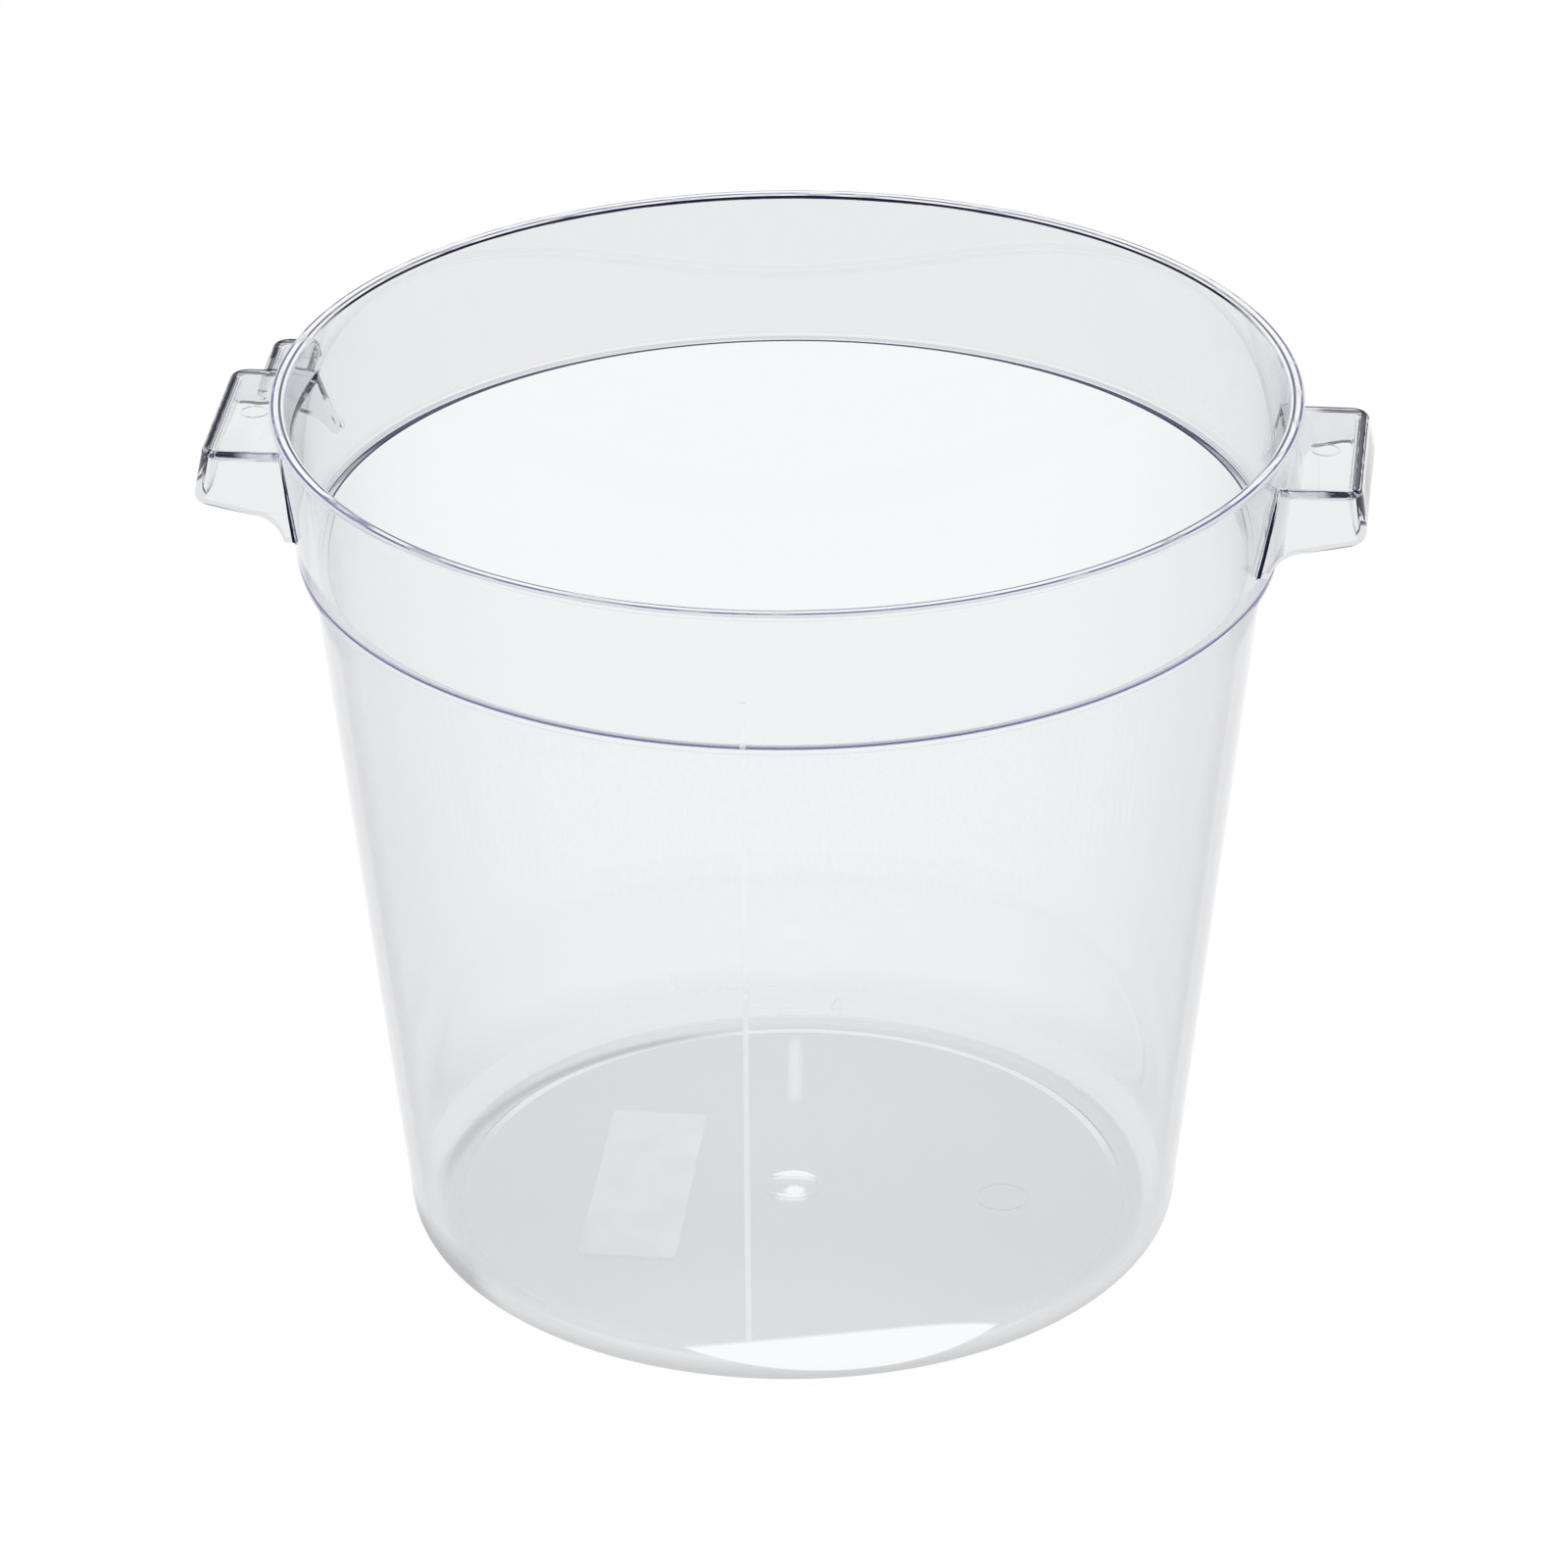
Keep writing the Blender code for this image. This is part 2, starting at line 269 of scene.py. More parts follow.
END_SHADE_STRIPE_SHARES = [
    (0.0, PALE_GREY), (0.1, SLATE), (0.16, NEAR_WHITE), (0.30, GREY), (0.36, SLATE), (0.42, PALE_GREY),
    (0.50, NAVY), (0.95, NAVY), (1.0, SLATE),
]
NEAR_EDGE_SHADE_SHARES = [(0.0, NAVY), (0.16, SLATE), (0.26, SKIRT_GREY), (1.0, SKIRT_GREY)]

# Painted shade and highlights: lines on the rim
RIM_LINE_DEPTH = 0.0007
RIM_LINE_SOFT = 0.0003
RIM_SHADE_AND_GLINT_SHARES = [
    (0.0, GREY), (0.07, GREY), (0.12, GLINT), (0.22, GLINT), (0.26, SLATE), (0.38, SLATE), (0.43, GLINT),
    (0.68, GLINT), (0.73, DEEP_VIOLET), (0.85, DEEP_VIOLET), (0.9, NEAR_WHITE), (1.0, GREY),
]
BROKEN_SHARES = [(0.36, 0.15), (0.5, 0.85)]
CORNER_LINE = 0.0005
CORNER_LINE_SOFT = 0.0001
CORNER_DEPTH_SHARES = (0.7, 0.6)  # of the rim's inner round
CORNER_FACING_SHARES = (0.5, 0.6)

# Painted shade: the inner ledge as a dark line, seen through the collar above the step
STEP_LINE = (0.0015, 0.0031)
STEP_SHADE_SHARES = [(0.0, 0), (0.15, 0.5), (0.35, 0.95), (0.55, 0.65), (0.75, 0.3), (1.0, 0)]
STEP_LINE_IN_SHARE = 0.8

# Painted shade in the hollow where a handle meets the collar, by how far it stands out
JUNCTION_FROM = 0.00005
JUNCTION_WIDTHS = (0.0003, 0.0008)
JUNCTION_SIDE = 0.0225
JUNCTION_ALONG = 0.105

# Painted shade: the dark bands on a plate, by how far they lie in from its edge, and the line along a skirt
BAND_FROM = 0.0007
BAND_WIDTHS = (0.0022, 0.0012)  # and in from the side that is nearest
BAND_WANDER = 0.0008
BAND_FACING_SHARES = (0.3, 0.5)
BAND_SHARE = 0.8
LOWER_LINE_TOP = (0.0005, 0.00035)
LOWER_LINE_FOOT = (-0.00025, -0.0001)
LOWER_FACING_SHARES = (0.7, 0.6)
LOWER_ALONG_SHARES = (0.02, 0.1)
LINE_FROM_COUNT = 2
LINE_TO_COUNT = 3

# Painted highlights: the gate in the middle of the floor, and a soft streak beyond it
ON_FLOOR = (0.006, 0.0055)
GATE_SOFT = 0.0004
GATE_FAR = 0.0034
GATE_NEAR = (-0.0050, -0.0058)
GATE_SPOT_AT = (0.0008, -0.0035, 0)
GATE_SPOT = (0.0032, 0.0018)
STREAK_LEAN_SHARE = 0.09  # it runs a little off the axis
STREAK_HALF = (0.0024, 0.0008)
STREAK_NEAR = (0.042, 0.050)
STREAK_FAR = (0.082, 0.074)
STREAK_SHARE = 0.3

# Painted reflection: the bright crescent on the front of the heel
CRESCENT_MIDDLE_SHARE = 0.285  # sideways, of the distance forward
CRESCENT_HALF_SHARE = 0.48
CRESCENT_HEIGHT = 0.0114
CRESCENT_BELOW = 0.0060
CRESCENT_ABOVE = 0.0067
CRESCENT_FROM = -0.010
CRESCENT_TIP_SHARE = 0.02
CRESCENT_LOW_SOFT = 0.0005
CRESCENT_HIGH_SOFT = 0.0012
CRESCENT_SHARE = 0.9

# Raised marks, with a painted highlight that makes them look a little lighter than the wall
MARK_RISE = (MARK_HEIGHT / 5, MARK_HEIGHT / 2)
MARK_HIGHLIGHT_SHARE = 0.5
MARK_TOP = 0.002  # they end this far below the step
COLLAR_MARK_SIDE = (0.010, 0.008)
COLLAR_MARK_ROOM = 0.002

# Painted light and shade on the foot, the heel and the band between floor and heel
FOOT_RADIUS = 0.0874
LINES_LOW = (0.002, 0.0017)
BACK = (0.015, 0.035)
WHITE_LINE_FROM = 0.0842
WHITE_LINE_TO = 0.0865
WHITE_LINE_SOFT = 0.0003
DARK_LINE_TO = 0.0875
DARK_LINE_SOFT = 0.0005
DARK_LINE_SHARE = 0.3
FOOT_LOW = (0.00145, 0.0013)
FOOT_IN = 0.002
FOOT_SOFT = 0.0005
FOOT_SHARE = 0.85
SIDE_BAND_RADIUS = 0.0916
SIDE_BAND_TURN_SHARE = 0.095
SIDE_BAND_HALF = (0.0026, 0.00052)
SIDE_BAND_TOP = 0.008
SIDE_BAND_X = (-0.020, -0.045)
SIDE_BAND_Y = (-0.016, 0.005)
SIDE_BAND_FACING_SHARES = (0.4, 0.5)
SIDE_BAND_SHARE = 0.75
INNER_HEEL_LIFT = 0.0001
INNER_HEEL_FACING_SHARES = (0.02, 0.06)
INNER_HEEL_FRONT = (0.008, -0.008)
INNER_HEEL_SHARE = 0.7
HEEL_FACING_SHARES = (0, -0.05)
HEEL_TOP_SHARE = 1.8  # of the heel's radius
HEEL_SHADE_SHARES = [(0.42, HEEL_DARK), (0.68, HEEL_MIDDLE), (1.0, HEEL_LIGHT)]
HEEL_SHARE = 0.85
DARK_HEEL_X = (-0.066, -0.076)
DARK_HEEL_Y = (-0.024, -0.036)
DARK_HEEL_FLAT_SHARES = (0.52, 0.62)


def link(obj):
    bpy.context.scene.collection.objects.link(obj)
    return obj


def add_camera():
    data = bpy.data.cameras.new("camera")
    data.lens = FOCAL_LENGTH
    data.sensor_width = SENSOR
    data.clip_end = FARTHEST
    camera = link(bpy.data.objects.new("camera", data))
    turn = Matrix.Rotation(CAMERA_TURN, 4, "Z")
    tilt = Matrix.Rotation(QUARTER - CAMERA_PITCH, 4, "X")
    roll = Matrix.Rotation(CAMERA_ROLL, 4, "Z")
    camera.matrix_world = Matrix.Translation(CAMERA_AT) @ turn @ tilt @ roll
    bpy.context.scene.camera = camera


def arc(centre, radius, start, end, steps):
    points = []
    for i in range(steps + 1):
        angle = start + (end - start) * i / steps
        points.append((centre[0] + radius * math.cos(angle), centre[1] + radius * math.sin(angle)))
    return points


def wall_radius(height):
    return BASE_RADIUS + DRAFT_SHARE * height


def collar_radius(height):
    return wall_radius(height) + STEP_WIDTH


def reach_of(projection):
    """How far from the axis something ends that stands out from the collar at the height of the handles."""
    return collar_radius(HANDLE_TOP) + projection


def make_object(name, points, faces):
    mesh = bpy.data.meshes.new(name)
    mesh.from_pydata(points, [], faces)
    mesh.shade_smooth()
    mesh.set_sharp_from_angle(angle=SHARP_ANGLE)
    return link(bpy.data.objects.new(name, mesh))


def circle(x, y, radius, height, steps):
    return [(*point, height) for point in arc((x, y), radius, 0, 4 * QUARTER, steps)[:-1]]


def bands(starts, count):
    """Faces between rows of points that run round, given where each row starts."""
    faces = []
    for low, high in zip(starts, starts[1:]):
        for i in range(count):
            after = (i + 1) % count
            faces.append((low + i, low + after, high + after, high + i))
    return faces


def revolve(name, profile):
    """A body of revolution, from its lower end on the axis round to its upper one."""
    points = [(0, 0, profile[0][1])]
    for radius, height in profile[1:-1]:
        points += circle(0, 0, radius, height, AROUND)
    top = len(points)
    points.append((0, 0, profile[-1][1]))
    faces = bands(range(1, top, AROUND), AROUND)
    for i in range(AROUND):
        after = (i + 1) % AROUND
        faces += [(0, 1 + after, 1 + i), (top - AROUND + i, top - AROUND + after, top)]
    return make_object(name, points, faces)


def stack(name, sections):
    """A block through outlines that lie one over another."""
    count = len(sections[0])
    points = [point for section in sections for point in section]
    sides = bands(range(0, len(points), count), count)
    caps = range(count), range(len(points) - count, len(points))
    return make_object(name, points, [tuple(reversed(caps[0])), *sides, tuple(caps[1])])


def container_profile():
    slant = math.hypot(1, DRAFT_SHARE)
    lean = math.atan(DRAFT_SHARE)
    heel_centre = wall_radius(HEEL_RADIUS) - HEEL_RADIUS * slant
    foot_inner = heel_centre - FOOT_WIDTH
    gate_low = RECESS_DEPTH - GATE_DROP
    ring_inner = GATE_RING_RADIUS - GATE_RING_WIDTH
    ring_low = RECESS_DEPTH - MARK_HEIGHT
    profile = [(0, gate_low), (GATE_RADIUS - GATE_DROP, gate_low), (GATE_RADIUS, RECESS_DEPTH)]
    profile += [(ring_inner, RECESS_DEPTH), (ring_inner, ring_low), (GATE_RING_RADIUS, ring_low)]
    profile += [(GATE_RING_RADIUS, RECESS_DEPTH), (foot_inner - RECESS_SLOPE, RECESS_DEPTH), (foot_inner, 0)]
    profile += arc((heel_centre, HEEL_RADIUS), HEEL_RADIUS, -QUARTER, -lean, HEEL_STEPS)
    # the step: a hollow curve off the body, and the collar's lower corner rounded
    hollow = (wall_radius(STEP_HEIGHT) + STEP_ROUND, STEP_HEIGHT - STEP_ROUND)
    profile += arc(hollow, STEP_ROUND, 2 * QUARTER - lean, QUARTER, SMALL_STEPS)
    corner = (collar_radius(STEP_HEIGHT) - STEP_ROUND, STEP_HEIGHT + STEP_ROUND)
    profile += arc(corner, STEP_ROUND, -QUARTER, -lean, SMALL_STEPS)
    bead = RIM_THICKNESS / 2
    profile.append((collar_radius(HEIGHT - RIM_THICKNESS), HEIGHT - RIM_THICKNESS))
    rim_radius = collar_radius(HEIGHT) + RIM_OVERHANG
    profile += arc((rim_radius - bead, HEIGHT - bead), bead, -QUARTER, QUARTER, ROUND_STEPS)
    inner_top = collar_radius(HEIGHT) - WALL
    rounding = (inner_top + RIM_INNER_ROUND, HEIGHT - RIM_INNER_ROUND)
    profile += arc(rounding, RIM_INNER_ROUND, QUARTER, 2 * QUARTER, SMALL_STEPS)
    ledge = STEP_HEIGHT + LEDGE_RISE
    hollow = (collar_radius(ledge) - WALL - LEDGE_HOLLOW, ledge + LEDGE_HOLLOW)
    profile += arc(hollow, LEDGE_HOLLOW, -lean, -QUARTER, SMALL_STEPS)
    edge = (wall_radius(ledge) - WALL + STEP_ROUND, ledge - STEP_ROUND)
    profile += arc(edge, STEP_ROUND, QUARTER, 2 * QUARTER - lean, SMALL_STEPS)
    centre_height = FLOOR_TOP + INNER_HEEL_RADIUS
    centre = wall_radius(centre_height) - WALL - INNER_HEEL_RADIUS * slant
    profile += arc((centre, centre_height), INNER_HEEL_RADIUS, -lean, -QUARTER, HEEL_STEPS)
    profile.append((0, FLOOR_TOP))
    return profile


def wall_at(height, across):
    return math.sqrt(collar_radius(height) ** 2 - across**2)


def handle_plan(side, reach, half, corner, fillet):
    """The outline of a handle: rounded corners outside, and a hollow curve into the collar at each end."""

    def plan(height, by, fall):
        edge = half - by + SIDE_FLARE_SHARE * fall
        outer = reach - by + END_FLARE_SHARE * fall
        turn = corner - by
        inner = wall_at(height, edge + fillet) - WALL / 2
        foot = wall_at(height, edge) + fillet
        points = [(inner, -edge - fillet)]
        if fillet:
            points += arc((foot, -edge - fillet), fillet, 2 * QUARTER, QUARTER, SMALL_STEPS)
        points += arc((outer - turn, turn - edge), turn, -QUARTER, 0, ROUND_STEPS)
        points += arc((outer - turn, edge - turn), turn, 0, QUARTER, ROUND_STEPS)
        if fillet:
            points += arc((foot, edge + fillet), fillet, -QUARTER, -2 * QUARTER, SMALL_STEPS)
        points.append((inner, edge + fillet))
        return [(side * x, side * y, height) for x, y in points]

    return plan


def ledge_plan(reach, width, start, end, corner):
    """The outline of the side ledge: a rounded box from inside the left handle to its own end."""

    def plan(height, by, fall):
        turn = corner - by
        left = by - reach - END_FLARE_SHARE * fall
        right = width - reach - by
        far = end - by + SIDE_FLARE_SHARE * fall
        points = [(left, start), (right, start)]
        points += arc((right - turn, far - turn), turn, 0, QUARTER, ROUND_STEPS)
        points += arc((left + turn, far - turn), turn, QUARTER, 2 * QUARTER, ROUND_STEPS)
        return [(x, y, height) for x, y in points]

    return plan


def tray(name, plan, top, bottom, edge):
    """One block with flared sides and a rounded upper edge."""
    shoulder = top - edge
    sections = [plan(bottom, 0, shoulder - bottom)]
    for i in range(SMALL_STEPS * 2 + 1):
        angle = QUARTER * i / (SMALL_STEPS * 2)
        sections.append(plan(shoulder + edge * math.sin(angle), edge * (1 - math.cos(angle)), 0))
    return stack(name, sections)


def core(name):
    """The space inside the middle of the collar wall, where nothing of a handle may stand."""
    low, high = (collar_radius(height) - WALL / 2 for height in (STEP_HEIGHT, HEIGHT))
    return revolve(name, [(0, STEP_HEIGHT), (low, STEP_HEIGHT), (high, HEIGHT), (0, HEIGHT)])


def outer_corner(reach):
    """The end of a skirt's lower edge: a rounded corner, and a run past everything."""
    height = HANDLE_TOP - SKIRT_OUTER_DEPTH + SKIRT_CORNER
    flared = reach + END_FLARE_SHARE * (HANDLE_TOP - height)
    corner = arc((flared - SKIRT_CORNER, height), SKIRT_CORNER, -QUARTER, 0, ROUND_STEPS)
    return corner + [(flared + HANDLE_HALF_WIDTH, height)]


def handle_edge(reach):
    """The lower edge of a handle's skirts, from the collar out: it sweeps up, then runs level."""
    inner_height = HANDLE_TOP - SKIRT_INNER_DEPTH
    wall = wall_at(inner_height, HANDLE_HALF_WIDTH)
    level_from = wall + SKIRT_SWEEP_RADIUS * math.sin(SKIRT_SWEEP_ANGLE)
    centre = (level_from, inner_height - SKIRT_SWEEP_RADIUS)
    sweep = arc(centre, SKIRT_SWEEP_RADIUS, QUARTER + SKIRT_SWEEP_ANGLE, QUARTER, ROUND_STEPS)
    return [(wall - 2 * WALL, sweep[0][1])] + sweep + outer_corner(reach)


def ledge_edge(reach):
    """The lower edge of the side ledge, which drops from the inside to the outside."""
    inner = reach - LEDGE_WIDTH
    height = HANDLE_TOP - LEDGE_INNER_DEPTH
    return [(inner - HANDLE_WALL, height), (inner, height)] + outer_corner(reach)


def underside(name, side, edge):
    """What is cut away below a handle: its upper surface is the skirts' lower edge."""
    bottom = STEP_HEIGHT
    section = [(edge[0][0], bottom)] + edge + [(edge[-1][0], bottom)]
    half = 2 * (HANDLE_HALF_WIDTH + LEDGE_LENGTH)
    near = [(side * x, -half, z) for x, z in section]
    far = [(side * x, half, z) for x, z in section]
    return stack(name, [near, far] if side == RIGHT else [far, near])


def ring(name, x, y, radius, width, low, high):
    """A raised circle with a square section."""
    points = []
    for out, height in ((radius, low), (radius, high), (radius - width, high), (radius - width, low)):
        points += circle(x, y, out, height, RING_STEPS)
    starts = [*range(0, len(points), RING_STEPS), 0]
    return make_object(name, points, bands(starts, RING_STEPS))


def on_wall(across, height, out):
    """A point of the graduated wall, this far across from the scale and this far out from the plastic."""
    share = (height - SCALE_LOW) / (SCALE_HIGH - SCALE_LOW)
    radius = wall_radius(height) if height < STEP_HEIGHT else collar_radius(height)
    turn = SCALE_LOW_TURN + (SCALE_HIGH_TURN - SCALE_LOW_TURN) * share + across / radius
    return ((radius + out) * math.sin(turn), -(radius + out) * math.cos(turn), height)


def stroke(name, start, end, width):
    """A straight raised stroke on the wall between two places, each across and up."""
    run = Vector(end) - Vector(start)
    side = Vector((-run.y, run.x)).normalized() * width / 2
    pieces = max(1, round(run.length / STROKE_STEP))
    sections = []
    for i in range(pieces + 1):
        middle = Vector(start) + run * i / pieces
        left = middle + side
        right = middle - side
        sections.append(
            [
                on_wall(left.x, left.y, -MARK_ROOT), on_wall(right.x, right.y, -MARK_ROOT),
                on_wall(right.x, right.y, MARK_HEIGHT), on_wall(left.x, left.y, MARK_HEIGHT),
            ]
        )
    return stack(name, sections)


def tick(start, end, height):
    return stroke("tick", (start, height), (end, height), TICK_WIDTH)


def figure_four(across, up):
    """A plain four, its strokes just clear of each other."""
    high = FIGURE_HEIGHT / 2
    wide = FIGURE_HEIGHT / 3
    bar = -high / 3
    stem = wide / 3
    strokes = [
        (stem, -high, stem, high),
        (-wide, bar, stem - FIGURE_GAP, bar),
        (stem + FIGURE_GAP, bar, wide, bar),
        (-wide, bar + 1.5 * FIGURE_GAP, stem - 2 * FIGURE_GAP, high),
    ]
    return [
        stroke("figure", (across + x, up + y), (across + end_x, up + end_y), FIGURE_STROKE)
        for x, y, end_x, end_y in strokes
    ]


def marks():
    made = [
        stroke("scale_body", (0, SCALE_LOW), (0, STEP_HEIGHT - 2 * STEP_ROUND), SCALE_WIDTH),
        stroke("scale_collar", (0, STEP_HEIGHT + 2 * STEP_ROUND), (0, SCALE_HIGH), SCALE_WIDTH),
        tick(-LEFT_TICK_LENGTH, -SCALE_WIDTH, LEFT_TICK_HEIGHT),
        tick(SCALE_WIDTH, RIGHT_TICK_LENGTH, RIGHT_TICK_HEIGHT),
    ]
    low = RECESS_DEPTH - MARK_HEIGHT
    high = RECESS_DEPTH + MARK_ROOT
    made.append(ring("base_mark", BASE_MARK_X, 0, BASE_MARK_RADIUS, BASE_MARK_WIDTH, low, high))
    low = HANDLE_TOP - MARK_ROOT
    high = HANDLE_TOP + MARK_HEIGHT
    for side in (LEFT, RIGHT):
        x = side * PLATE_MARK_X
        made.append(ring("plate_mark", x, PLATE_MARK_Y, PLATE_MARK_RADIUS, PLATE_MARK_WIDTH, low, high))
    made += figure_four(LEFT_FIGURE_X, LEFT_TICK_HEIGHT)
    return made + figure_four(RIGHT_FIGURE_X, RIGHT_TICK_HEIGHT)


def join(objects, name):
    """One mesh of several separate closed ones, all facing out."""
    whole = bmesh.new()
    for obj in objects:
        whole.from_mesh(obj.data)
        bpy.data.objects.remove(obj)
    bmesh.ops.recalc_face_normals(whole, faces=whole.faces)
    mesh = bpy.data.meshes.new(name)
    whole.to_mesh(mesh)
    whole.free()
    return link(bpy.data.objects.new(name, mesh))


def apply_boolean(target, other, operation):
    change = target.modifiers.new(other.name, "BOOLEAN")
    change.operation = operation
    change.solver = "EXACT"
    change.object = other
    graph = bpy.context.evaluated_depsgraph_get()
    mesh = bpy.data.meshes.new_from_object(target.evaluated_get(graph), depsgraph=graph)
    target.modifiers.clear()
    old = target.data
    target.data = mesh
    bpy.data.meshes.remove(old)


def triangles(obj, sign=1):
    """Corner points and corner normals of an object's triangles. A sign of -1 turns the normals round."""
    mesh = obj.data
    mesh.calc_loop_triangles()
    points = [[mesh.vertices[i].co for i in face.vertices] for face in mesh.loop_triangles]
    normals = [[sign * mesh.corner_normals[i].vector for i in face.loops] for face in mesh.loop_triangles]
    return np.array(points), np.array(normals)


def lay_normals(obj, surfaces):
    """Gives each corner of the finished body the smooth normal of the shape that its face came from."""
    points, normals = (np.concatenate(kind) for kind in zip(*surfaces))
    flats = np.cross(points[:, 1] - points[:, 0], points[:, 2] - points[:, 0])
    areas = np.linalg.norm(flats, axis=1)
    good = areas > SMALLEST_AREA
    points, normals, flats = points[good], normals[good], flats[good] / areas[good][:, None]
    flats[(normals * flats[:, None]).sum(2).mean(1) < 0] *= -1
    corners = np.arange(len(points) * 3).reshape(-1, 3)
    tree = BVHTree.FromPolygons(points.reshape(-1, 3).tolist(), corners.tolist())
    mesh = obj.data
    made = [corner.vector.copy() for corner in mesh.corner_normals]
    for polygon in mesh.polygons:
        flat = np.array(polygon.normal)
        for loop in polygon.loop_indices:
            point = mesh.vertices[mesh.loops[loop].vertex_index].co
            probe = point.lerp(polygon.center, PROBE_SHARE)
            best = None
            for _, _, index, distance in tree.find_nearest_range(probe, PROBE_REACH):
                match = float(flats[index] @ flat)
                rank = distance - MATCH_WORTH * match
                if match > MATCH_SHARE and (best is None or rank < best[0]):
                    best = (rank, index)
            if best:
                a, b, c = (Vector(corner) for corner in points[best[1]])
                made[loop] = Vector(blend_normal(point, a, b, c, normals[best[1]])).normalized()
    mesh.normals_split_custom_set(made)


def blend_normal(point, a, b, c, corner_normals):
    ab, ac, ap = b - a, c - a, point - a
    d00, d01, d11 = ab.dot(ab), ab.dot(ac), ac.dot(ac)
    d20, d21 = ap.dot(ab), ap.dot(ac)
    scale = d00 * d11 - d01 * d01
    if abs(scale) < SMALLEST_SCALE:
        return corner_normals[0]
    v = min(max((d11 * d20 - d01 * d21) / scale, 0), 1)
    w = min(max((d00 * d21 - d01 * d20) / scale, 0), 1)
    u = max(1 - v - w, 0)
    return u * corner_normals[0] + v * corner_normals[1] + w * corner_normals[2]


def skirted_plate(surfaces, name, side, plan, hollow_plan, edge):
    """An upside-down tray with its lower edge cut. Gives back the tray and the block that hollows it."""
    bottom = STEP_HEIGHT + WALL
    shell = tray(name, plan, HANDLE_TOP, bottom, HANDLE_EDGE)
    inside_top = HANDLE_TOP - HANDLE_WALL
    hollow = tray(name + "_hollow", hollow_plan, inside_top, bottom - HANDLE_WALL, HANDLE_INNER_EDGE)
    under = underside(name + "_underside", side, edge)
    inside = core(name + "_core")
    surfaces += [triangles(shell), triangles(hollow, -1), triangles(under, -1)]
    for cutter in (hollow, under, inside):
        apply_boolean(shell, cutter, "DIFFERENCE")
    for cutter in (under, inside):
        bpy.data.objects.remove(cutter)
    return shell, hollow


def handle(surfaces, name, side):
    reach = reach_of(HANDLE_PROJECTION)
    plan = handle_plan(side, reach, HANDLE_HALF_WIDTH, HANDLE_CORNER, HANDLE_FILLET)
    inner_half = HANDLE_HALF_WIDTH - HANDLE_WALL
    hollow_plan = handle_plan(side, reach - HANDLE_WALL, inner_half, HANDLE_CORNER - HANDLE_WALL, 0)
    return skirted_plate(surfaces, name, side, plan, hollow_plan, handle_edge(reach))


def side_ledge(surfaces, name, handle_hollow):
    """Starts inside the left handle, whose hollow then cuts off what would stand inside it."""
    reach = reach_of(LEDGE_PROJECTION)
    start = HANDLE_HALF_WIDTH / 2
    end = HANDLE_HALF_WIDTH + LEDGE_LENGTH
    plan = ledge_plan(reach, LEDGE_WIDTH, start, end, LEDGE_CORNER)
    # the hollow is as wide as the ledge, so it is open towards the container
    hollow_sizes = start - HANDLE_WALL, end - HANDLE_WALL, LEDGE_CORNER - HANDLE_WALL
    hollow_plan = ledge_plan(reach - HANDLE_WALL, LEDGE_WIDTH, *hollow_sizes)
    ledge, ledge_hollow = skirted_plate(surfaces, name, LEFT, plan, hollow_plan, ledge_edge(reach))
    apply_boolean(ledge, handle_hollow, "DIFFERENCE")
    bpy.data.objects.remove(ledge_hollow)
    return ledge


def build_container():
    body = revolve("clear_container", container_profile())
    surfaces = [triangles(body)]
    right, right_hollow = handle(surfaces, "handle_right", RIGHT)
    left, left_hollow = handle(surfaces, "handle_left", LEFT)
    ledge = side_ledge(surfaces, "side_ledge", left_hollow)
    for piece in (right, left, ledge):
        apply_boolean(body, piece, "UNION")
    relief = join(marks(), "marks")
    apply_boolean(body, relief, "UNION")
    for helper in (right, left, ledge, right_hollow, left_hollow, relief):
        bpy.data.objects.remove(helper)
    body.data.shade_smooth()
    body.data.set_sharp_from_angle(angle=SHARP_ANGLE)
    lay_normals(body, surfaces)
    return body


def add(tree, kind, inputs=None, **settings):
    """A node whose inputs are set by place or name."""
    node = tree.nodes.new("ShaderNode" + kind)
    for name, value in settings.items():
        setattr(node, name, value)
    for name, value in (inputs or {}).items():
        socket = node.inputs[name]
        if isinstance(value, Signal):
            tree.links.new(value.socket, socket)
        elif socket.type == "RGBA":
            socket.default_value = (*value, 1)
        else:
            socket.default_value = value
    return node


def make(tree, kind, output, inputs=None, **settings):
    """One output of such a node."""
    return Signal(add(tree, kind, inputs, **settings).outputs[output])


class Signal:
    """A number or colour worked out at each point of a surface. The usual signs make nodes of such numbers."""

    def __init__(self, socket):
        self.socket = socket
        self.tree = socket.id_data

    def make(self, kind, output, inputs, **settings):
        return make(self.tree, kind, output, inputs, **settings)

    def math(self, operation, first, second=0):
        return self.make("Math", "Value", {0: first, 1: second}, operation=operation)

    def __add__(self, other):
        return self.math("ADD", self, other)

    def __sub__(self, other):
        return self.math("SUBTRACT", self, other)

    def __rsub__(self, other):
        return self.math("SUBTRACT", other, self)

    def __mul__(self, other):
        return self.math("MULTIPLY", self, other)

    def __truediv__(self, other):
        return self.math("DIVIDE", self, other)

    def __abs__(self):
        return self.math("ABSOLUTE", self)


def larger(first, second):
    return first.math("MAXIMUM", first, second)


def share(value, start, end, low=0, high=1):
    """Runs from low, where the value is at its start, to high, where it is at its end."""
    inputs = {"Value": value, "From Min": start, "From Max": end, "To Min": low, "To Max": high}
    return value.make("MapRange", "Result", inputs)


def above(value, start, soft=SOFT):
    return share(value, start, start + soft)


def below(value, end, soft=SOFT):
    return share(value, end, end - soft)


def at_least(count, number):
    return above(count, number - COUNT_MARGIN, COUNT_SOFT)


def at_most(count, number):
    return below(count, number + COUNT_MARGIN, COUNT_SOFT)


def opposite(value):
    return share(value, 1, 0)


def every(first, *others):
    """1 where all the given shares are 1."""
    for other in others:
        first = first * other
    return first


